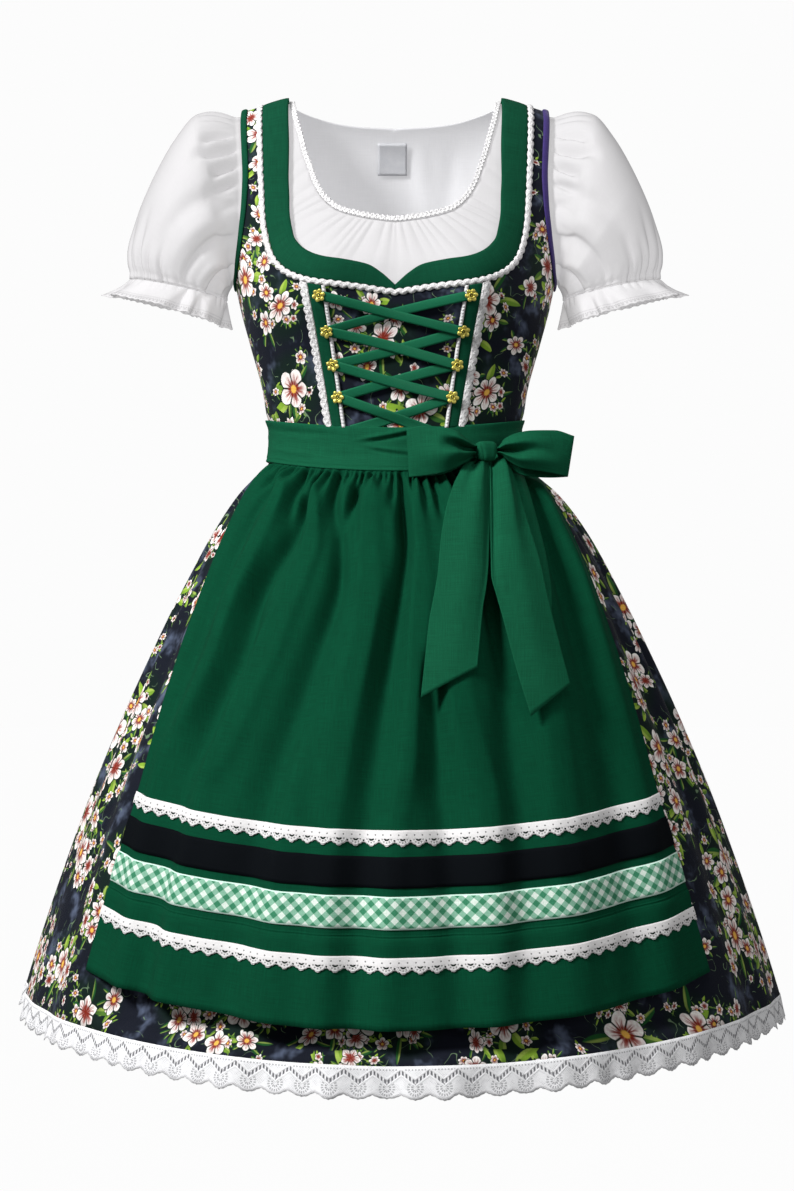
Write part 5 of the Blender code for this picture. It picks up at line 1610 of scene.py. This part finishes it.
BLOUSE_IN = 5.0  # how far inside the dress it lies
BLOUSE_ARMHOLE_ASIDE = 6.0
BLOUSE_HEM = -300
BLOUSE_NECK = table(
    "x level",
    (111.5, 1.9), (111.4, 1.5), (111, -2), (109.5, -10), (108.2, -17), (106.5, -25), (102, -42), (97, -62),
    (91, -80), (85, -97), (77, -111), (68, -120.5), (60, -126), (51, -129.5), (42, -132), (34, -134),
    (25, -135.8), (17, -137), (8.5, -138.3), (0, -139),
)
BLOUSE_BACK_NECK = table(
    "x level", (111.5, 1.9), (111, 1.3), (108, -1.5), (102, -4), (86, -9), (65, -14), (38, -17), (0, -19)
)
BLOUSE_SIDE_LEVELS = (-235, -275)
BLOUSE_BACK_CENTRE_LEVELS = (-45, -80, -120, -160, -205, -255, BLOUSE_HEM)
BLOUSE_NECK_LACE_WIDTH, BLOUSE_NECK_LOBES = 4, (5.2, 2.6)
LABEL_X, LABEL_LEVELS, LABEL_SIZE = -3, (-32, -65), 32
LABEL_IN = BLOUSE_IN + 3.2
BLOUSE_BACK_CREASES = table(
    CREASE,
    (196, 2, -20, -170, 2.5, 1, 2.5, 0.3), (172, -3, -20, -150, 2.2, 1, -2.5, 0.3),
    (160, 4, -15, -200, 2.4, 1, 2.5, 0.3), (207, -5, -12, -180, 2.6, 1, -2.2, 0.3),
    (184, 1, -60, -260, 2.6, 1, 2, 0.3), (149, -2, -20, -220, 2.6, 1, -2, 0.3),
    (218, 3, -20, -220, 2.6, 1, 2.2, 0.3),
)


def make_blouse_front():
    steps = 9
    neck = line_on_form(BLOUSE_NECK["x"], BLOUSE_NECK["level"], steps)
    side_angles, side_levels = outer_edge(BLOUSE_ARMHOLE_ASIDE, BLOUSE_SIDE_LEVELS, gap=2 * GAP)
    hem = np.radians((75.0, 60.0, 45.0, 30.0, 15.0, 0.0))
    edge = np.append(side_angles, hem), np.append(side_levels, np.full(len(hem), float(BLOUSE_HEM)))
    shares = even(41) ** 1.25
    angle, level = across(neck, finer_line(edge, steps), shares)
    row = np.linspace(0, 19, len(angle))[:, None]
    share = shares[None, :]
    depth = 1.9 * ease(row, 4.5, 9) * np.exp(-((share / 0.24) ** 1.6)) * ease(share, 0, 0.02)
    broad = 0.8 * np.sin(row * 2.1 + share * 6) * ease(share, 0.02, 0.25) * ease(row, 3, 9)
    whole = []
    for sign, rate, starts in ((1, 1.15, (0.4, 1.0)), (-1, 1.12, (2.1, 1.7))):
        uneven = wander(row, (1.5, 1.1, starts[0]), (1.0, 2.3, starts[1]))
        phase = 2 * np.pi * row * rate + uneven + share * 3.0
        whole.append(lifted(angle * sign, level, depth * gathered(phase) + broad - 1.0 - BLOUSE_IN))
    # The two halves meet on the middle line.
    middle = (whole[0][-1] + whole[1][-1]) / 2
    for half in whole:
        half[-1] = middle
    grid = np.swapaxes(np.concatenate([whole[1][:-1], whole[0][::-1]], 0), 0, 1)
    angle = np.concatenate([-angle[:-1], angle[::-1]], 0).T
    level = np.concatenate([level[:-1], level[::-1]], 0).T
    cloth("blouse_front", grid, flat_on_form(angle, level), "white", BLOUSE_WALL)


def make_blouse_back():
    middle_x = np.append(BLOUSE_BACK_NECK["x"], np.zeros(len(BLOUSE_BACK_CENTRE_LEVELS)))
    middle_level = np.append(BLOUSE_BACK_NECK["level"], BLOUSE_BACK_CENTRE_LEVELS)
    middle = line_on_form(middle_x, middle_level, 5, True)
    side = outer_edge(BLOUSE_ARMHOLE_ASIDE, (*BLOUSE_SIDE_LEVELS, BLOUSE_HEM), True, 2 * GAP)
    angle, level = round_behind(*across(finer_line(side, 5), middle, even(50)))
    out = creases(BLOUSE_BACK_CREASES, np.degrees(angle), level) - BLOUSE_IN - 0.6
    flat = flat_on_form(angle, level, (0, 0), True)
    cloth("blouse_back", lifted(angle, level, out), flat, "white behind", BLOUSE_WALL, halves=True)


def make_blouse_neck_lace():
    lines = []
    for share in even(7):
        aside = (BLOUSE_NECK_LACE_WIDTH + 1.0) * (1 - share) - 0.5
        x, level = moved_aside(finer(BLOUSE_NECK["x"], 12), finer(BLOUSE_NECK["level"], 12), aside)
        x[-1] = 0
        keep = 2 * 12 + 1
        level[:keep] = finer(BLOUSE_NECK["level"], 12)[:keep]  # on the shoulder it moves sideways only
        lines.append(lifted(angle_of(x, level), level, -BLOUSE_IN + 1.2))
    turned = lobed(from_side_to_side(np.array(lines))[::-1], *BLOUSE_NECK_LOBES)[::-1]
    flat = flat_of(turned)
    flat[..., 1] = flat[::-1, :, 1]
    cloth("blouse_neck_lace", turned, flat, "neck lace", THIN_WALL)


def make_neck_label():
    label_x = LABEL_X + LABEL_SIZE * np.linspace(0.5, -0.5, 13)
    levels = np.linspace(*LABEL_LEVELS, 13)
    angle, level = np.meshgrid(angle_of(label_x, np.mean(LABEL_LEVELS), True), levels)
    grid = lifted(angle, level, -LABEL_IN)
    cloth("neck_label", grid[:, ::-1], flat_of(grid), "label", -THIN_WALL)


SLEEVE_HEAD_OUT, SLEEVE_HEAD_UP, SLEEVE_HEAD_DEPTH = 11, 1.5, 1.05  # from the armhole to the first free ring
SLEEVE_RINGS = table(
    "outer_x outer_z inner_x inner_z depth",
    (193, -10.5, 173, -197, 62), (211, -17, 175, -199, 70), (232, -42, 176, -201, 74),
    (255, -83, 177, -203, 73), (273, -126, 178, -206, 67), (283, -164, 178.5, -209, 59),
    (280, -190, 179, -212, 50),
)
FRILL_RINGS = table(
    "outer_x outer_z inner_x inner_z depth",
    (280.5, -191.5, 179, -213.2, 50), (292, -201, 179, -227, 61), (306, -209, 179.5, -243, 72),
)
SLEEVE_TURNS = np.arange(265) * 2 * np.pi / 264
HEAD_GATHERS, CUFF_GATHERS, CUFF_WANDER = 34, 30, ((1.4, 4, 0.2), (0.8, 9, 1.0))
TROUGHS_DEEP, RIDGES_HIGH = 2.2, 1.5  # how many times as deep and high as in the table of folds
SLEEVE_RADIUS, SLEEVE_LENGTH, FRILL_FULLNESS, FRILL_LENGTH = 72, 230, 1.4, 36  # laid flat
# Turns are degrees from the shoulder by way of the front; levels run from 0 at the head to -9 at
# the cuff.
SLEEVE_FOLDS = fold_lines(
    # gathers at the head, before
    ((-0.3, 46, -1.5, 2.9), (-1.4, 48, -4, 3.6), (-2.8, 52, 0, 5.8)),
    ((-0.3, 60, -3.5, 2.9), (-1.6, 63, -5.2, 3.6), (-3.6, 58, 0, 5.8)),
    ((-0.3, 74, -3.5, 2.9, 2.2), (-1.2, 76, -5.4, 2.9, 3.6), (-2.4, 79, 0, 5)),
    ((-0.3, 88, -2, 2.9), (-1.3, 90, -4.4, 3.6), (-3.4, 88, 0, 5.8)),
    # long folds from the armhole down to the side of the cuff, before
    ((-0.4, 104, -1.6, 3.6), (-2.5, 96, -2.4, 5.8, 7.2), (-5.5, 78, -1.6, 8.6), (-7.6, 66, 0, 8.6)),
    ((-0.6, 116, 1.8, 4.3), (-3.5, 106, 2.6, 6.5), (-7.4, 88, 0.8, 7.2)),
    (
        (-0.8, 126, -2.2, 3.6, 4.3), (-3.5, 120, -3.4, 4.3, 6.5), (-7.2, 106, -2.2, 4.3, 5.8),
        (-8.6, 102, -1, 3.6, 4.3),
    ),
    ((-1.2, 142, 2, 4.3), (-4.5, 134, 2.8, 5), (-8.4, 120, 1.6, 4.3)),
    ((-1.6, 152, -2.4, 3.6, 4.3), (-5, 146, -3.4, 3.6, 5), (-8.6, 134, -2.2, 3.6)),
    ((-2.4, 166, 1.6, 4.3), (-8.4, 150, 2.2, 4.3, 3.6)),
    # short ones over the cuff, before
    ((-6.4, 22, 0, 5), (-8, 24, -2, 3.6)),
    ((-5.8, 42, 0, 5.8), (-7.8, 44, -2.6, 3.6)),
    ((-6.6, 58, 0, 4.3), (-8, 57, -1.8, 2.9)),
    ((-6.2, 76, 0, 5), (-8, 74, -2.2, 2.9, 3.6)),
    # those behind, alike
    ((-0.3, 312, -2, 2.9), (-1.8, 308, -3, 3.6), (-3.4, 304, 0, 5.8)),
    ((-0.3, 296, -2.4, 2.9), (-1.3, 294, -3.2, 3.6, 2.9), (-2.6, 290, 0, 5)),
    ((-0.3, 278, -2, 2.9), (-1.8, 276, -3, 3.6), (-3.8, 280, 0, 5.8)),
    ((-0.6, 258, -1.8, 3.6), (-3.5, 266, -2.8, 6.5, 5.8), (-7.4, 284, 0, 8.6)),
    ((-0.8, 240, 1.8, 4.3), (-4, 250, 2.6, 5.8), (-8, 266, 0.8, 5.8)),
    ((-1, 226, -2.2, 4.3, 3.6), (-4.5, 234, -3.4, 5.8, 4.3), (-8.6, 250, -1.8, 4.3)),
    ((-2, 206, 1.6, 4.3), (-8.4, 222, 2.2, 4.3)),
    ((-2.4, 194, -2, 3.6), (-8.6, 206, -2.4, 3.6, 4.3)),
    ((-6.2, 330, 0, 5), (-8, 328, -2.2, 3.6)),
    ((-6, 306, 0, 5), (-8, 308, -2.4, 3.6)),
)


def ring_at(rings, turn, steps):
    """Fine rings of a sleeve from its few stated ones, as centres, half ways and depths."""
    made = {name: finer(values, steps)[:, None] for name, values in rings.items()}
    outer = np.stack([made["outer_x"], 0 * made["outer_x"], made["outer_z"]], -1)
    inner = np.stack([made["inner_x"], 0 * made["inner_x"], made["inner_z"]], -1)
    sides = np.array((0.0, -1.0, 0.0)) * made["depth"][..., None]
    offset = np.cos(turn)[..., None] * (outer - inner) / 2 + np.sin(turn)[..., None] * sides
    return (outer + inner) / 2, offset


def armhole_ring(turn, aside):
    """The armhole's edge read at turns from the shoulder by way of the front."""
    x, level = (finer(part, 4) for part in armhole_line(aside))
    top, foot = level[0], level[-1]
    wanted = (top + foot) / 2 + (top - foot) / 2 * np.cos(turn)
    at_x = np.interp(-wanted, -level, x)
    angle = angle_of(at_x, wanted)
    angle = np.where(np.sin(turn) > 0, angle, np.pi - angle)
    return lifted(angle, wanted, -BLOUSE_IN)


def make_sleeves():
    turn = SLEEVE_TURNS[None, :-1]
    seam, head = armhole_ring(turn[0], 0.5), armhole_ring(turn[0], -5)
    first = head * (1, SLEEVE_HEAD_DEPTH, 1) + (SLEEVE_HEAD_OUT, 0, SLEEVE_HEAD_UP)
    centre, offset = ring_at(SLEEVE_RINGS, turn, 8)
    body = centre + offset
    # From the armhole's edge out to the first free ring in soft steps.
    shares = even(6)[1:, None, None]
    start = np.concatenate([seam[None], head[None] * (1 - shares) + first[None] * shares])
    bridge = [first * (1 - share) + body[0] * share for share in (0.25, 0.5, 0.75)]
    grid = np.concatenate([start, np.array(bridge), body])
    # The rows near the armhole are evened out, and its depth further down.
    for _ in range(24):
        grid[2:16] += 0.5 * ((grid[1:15] + grid[3:17]) / 2 - grid[2:16])
    for _ in range(140):
        grid[2:34, :, 1] += 0.5 * ((grid[1:33, :, 1] + grid[3:35, :, 1]) / 2 - grid[2:34, :, 1])
    rows = len(grid)
    row = np.linspace(0, 9, rows)[:, None]
    away = grid - grid.mean(1, keepdims=True)
    away /= np.linalg.norm(away, axis=-1, keepdims=True)
    fold = folds(SLEEVE_FOLDS, *np.broadcast_arrays(np.degrees(turn), -row))
    fold = np.where(fold < 0, TROUGHS_DEEP, RIDGES_HIGH) * fold
    top = ease(np.cos(turn), -0.85, -0.1)
    fine = gathered(HEAD_GATHERS * turn + wander(turn, (1.2, 3, 0.5), (0.9, 7, 1.4))) - 0.55
    at_head = ease(row, 0.1, 1.0) * (1 - ease(row, 1.0, 2.8)) * top
    at_cuff = ease(row, 7.6, 8.8)
    cuff_fine = gathered(CUFF_GATHERS * turn + wander(turn, *CUFF_WANDER)) - 0.55
    casing = 2.6 * np.exp(-(((row - 8.6) / 0.22) ** 2))
    out = fold + 2.4 * fine * at_head + 2.4 * cuff_fine * at_cuff - casing * at_cuff * 0.6
    out = out * ease(row, 0.0, 0.8)
    grid = grid + away * out[..., None]
    around = SLEEVE_TURNS * SLEEVE_RADIUS
    flat = np.stack(np.meshgrid(around, -np.linspace(0, SLEEVE_LENGTH, rows)), -1)
    both_sides("sleeve", grid, flat, "white", BLOUSE_WALL, closed=True)


def make_frills():
    turn = SLEEVE_TURNS[None, :-1]
    centre, offset = ring_at(FRILL_RINGS, turn, 10)
    grid = centre + offset
    rows = len(grid)
    share = even(rows)[:, None]
    away = offset / np.linalg.norm(offset, axis=-1, keepdims=True)
    ruffle = np.sin(10 * turn + wander(turn, (1.8, 3, 0.6), (1.2, 5, 2.0)) + share * 0.8)
    ruffle = ruffle * (1 + wander(turn, (0.35, 4, 1.0)))
    pinch = gathered(CUFF_GATHERS * turn + wander(turn, *CUFF_WANDER)) - 0.55
    out = ruffle * (0.6 + 5.4 * share**1.1) + pinch * 2.0 * (1 - ease(share, 0, 0.5))
    down = (grid[-1] - grid[0]) / np.linalg.norm(grid[-1] - grid[0], axis=-1, keepdims=True)
    around = np.linspace(0, 96 * np.pi, len(SLEEVE_TURNS))[None, :-1]
    edge = -1.6 * (np.abs(np.cos(around / 2)) ** 1.5) * ease(share, 0.8, 1.0)
    grid = grid + away * out[..., None] + down[None] * edge[..., None]
    # Behind, it hangs a little higher, so that the back of its edge does not show below the front.
    grid[..., 2] += 11 * share * np.clip(-np.sin(turn), 0, 1)
    around = SLEEVE_TURNS * SLEEVE_RADIUS * FRILL_FULLNESS
    flat = np.stack(np.meshgrid(around, -np.linspace(0, FRILL_LENGTH, rows)), -1)
    both_sides("sleeve_frill", grid, flat, "frill", THIN_WALL, closed=True)


# --- floor, lights and camera ---

LIGHTS = (
    # name, place, what it points at, size, power in watts
    ("Large window light", (-2.2, -1.9, 1.5), (0, 0, -0.45), 0.9, 150),
    ("Fill from the right", (2.2, -2.2, 0.2), (0, 0, -0.5), 1.6, 14),
    ("Light from behind", (0.6, 2.4, 0.6), (0, 0, -0.45), 1.8, 12),
    ("Light from above", (0.1, -1.1, 1.5), (0, 0.05, -0.1), 0.9, 9),
)
FLOOR_CORNERS, FLOOR_REACH, FLOOR_LEVEL = ((-1, -1), (1, -1), (1, 1), (-1, 1)), 14.0, -1.42
BACKDROP, AROUND = 0.974, 0.18  # how bright the surroundings are to the camera and to the cloth
CAMERA_PLACE, LENS = (0.002, -2.6, -0.525), 74.1  # the lens in millimetres


def make_stage():
    corners = [(x * FLOOR_REACH, y * FLOOR_REACH, FLOOR_LEVEL) for x, y in FLOOR_CORNERS]
    mesh = bpy.data.meshes.new("Floor")
    mesh.from_pydata(corners, [], [(0, 1, 2, 3)])
    mesh.materials.append(pale_floor())
    placed("Floor", mesh)

    scene = bpy.context.scene
    scene.world = bpy.data.worlds.new("Studio")
    scene.world.use_nodes = True
    tree = scene.world.node_tree
    tree.nodes.clear()
    seen = add(tree, "LightPath")
    strength = seen * (BACKDROP - AROUND) + AROUND
    light = add(tree, "Background", Color=(1, 1, 1, 1), Strength=strength)
    put(light, tree.nodes.new("ShaderNodeOutputWorld").inputs["Surface"])
    for name, place, target, size, power in LIGHTS:
        lamp = bpy.data.lights.new(name, "AREA")
        lamp.shape, lamp.size, lamp.energy = "DISK", size, power
        light = placed(name, lamp)
        light.location = place
        light.rotation_euler = (Vector(target) - Vector(place)).to_track_quat("-Z", "Y").to_euler()

    camera = placed("Camera", bpy.data.cameras.new("Camera"))
    camera.data.lens, camera.data.sensor_width, camera.data.sensor_fit = LENS, 36, "AUTO"
    camera.location = CAMERA_PLACE
    camera.rotation_euler = (math.pi / 2, 0, 0)
    scene.camera = camera
    scene.view_settings.view_transform = "Standard"


# --- the whole ---


def declare_sheets():
    """A list of how each piece of cloth is held and by what, and its cut: width and length in metres, and the
    flat area in square metres where it is no rectangle. Nothing more is done with the list."""
    cuts = [
        ("bodice_back", "stretched", "bodice_side_front_right", 0.431, 0.382, 0.115),
        ("bodice_centre_front", "stretched", "bodice_side_front_right", 0.163, 0.171, 0.0245),
        ("neckline_band_back", "laid", "bodice_back", 0.0317, 0.385),
        ("neckline_lace", "laid", "bodice_side_front_right", 0.010, 0.700),
        ("skirt", "gathered", "apron_waistband", 2.350, 0.650, 1.14),
        ("skirt_hem_lace", "hung", "skirt", 2.350, 0.030, 0.064),
        ("apron", "gathered", "skirt", 0.720, 0.565),
        ("apron_lace_upper", "laid", "apron", 0.720, 0.015),
        ("apron_lace_lower", "laid", "apron", 0.720, 0.015),
        ("apron_ribbon_black", "laid", "apron", 0.720, 0.0285),
        ("apron_ribbon_gingham", "laid", "apron", 0.720, 0.030),
        ("apron_waistband", "stretched", "bodice_back", 0.800, 0.046),
        ("bow_knot", "folded", "apron_waistband", 0.045, 0.035),
        ("bow_loop_right", "folded", "bow_knot", 0.167, 0.0454),
        ("bow_loop_left", "folded", "bow_knot", 0.163, 0.0503),
        ("bow_tail_right", "hung", "bow_knot", 0.0733, 0.268, 0.0184),
        ("bow_tail_left", "hung", "bow_knot", 0.0674, 0.251, 0.0134),
        ("blouse_front", "gathered", "bodice_centre_front", 0.600, 0.314, 0.110),
        ("blouse_back", "stretched", "bodice_back", 0.428, 0.314, 0.105),
        ("blouse_neck_lace", "laid", "blouse_front", 0.010, 0.478, 0.0030),
        ("neck_label", "laid", "blouse_back", 0.0317, 0.0367),
    ]
    for side in ("right", "left"):
        front = "bodice_side_front_" + side
        cuts += [
            (front, "stretched", "bodice_back", 0.173, 0.382, 0.0317),
            ("neckline_band_" + side, "laid", front, 0.0264, 0.329),
            ("armhole_binding_" + side, "folded", front, 0.010, 0.465),
            ("placket_" + side, "laid", front, 0.0126, 0.149),
            ("placket_lace_" + side, "laid", front, 0.010, 0.151),
            ("placket_piping_" + side, "laid", front, 0.010, 0.157, 0.0012),
            ("sleeve_" + side, "gathered", front, 0.460, 0.230, 0.080),
            ("sleeve_frill_" + side, "gathered", "sleeve_" + side, 0.420, 0.036),
        ]
    for way, lengths in (("down", (0.152, 0.138, 0.127, 0.101)), ("up", (0.151, 0.137, 0.126, 0.110))):
        for number, length in enumerate(lengths, 1):
            name = f"lacing_{way}_{number}"
            cuts.append((name, "stretched", "bodice_centre_front", 0.0105, length))
    for name, held, holder, width, length, *area in cuts:
        area = area[0] if area else None


make_side_fronts()
make_centre_front()
make_bodice_back()
make_neckline_bands()
make_neckline_lace()
make_armhole_bindings()
make_plackets()
make_lacing()
make_hooks()
make_skirt()
make_hem_trim()
make_apron()
make_waistband()
make_bow()
make_blouse_front()
make_blouse_back()
make_blouse_neck_lace()
make_neck_label()
make_sleeves()
make_frills()
declare_sheets()
make_stage()
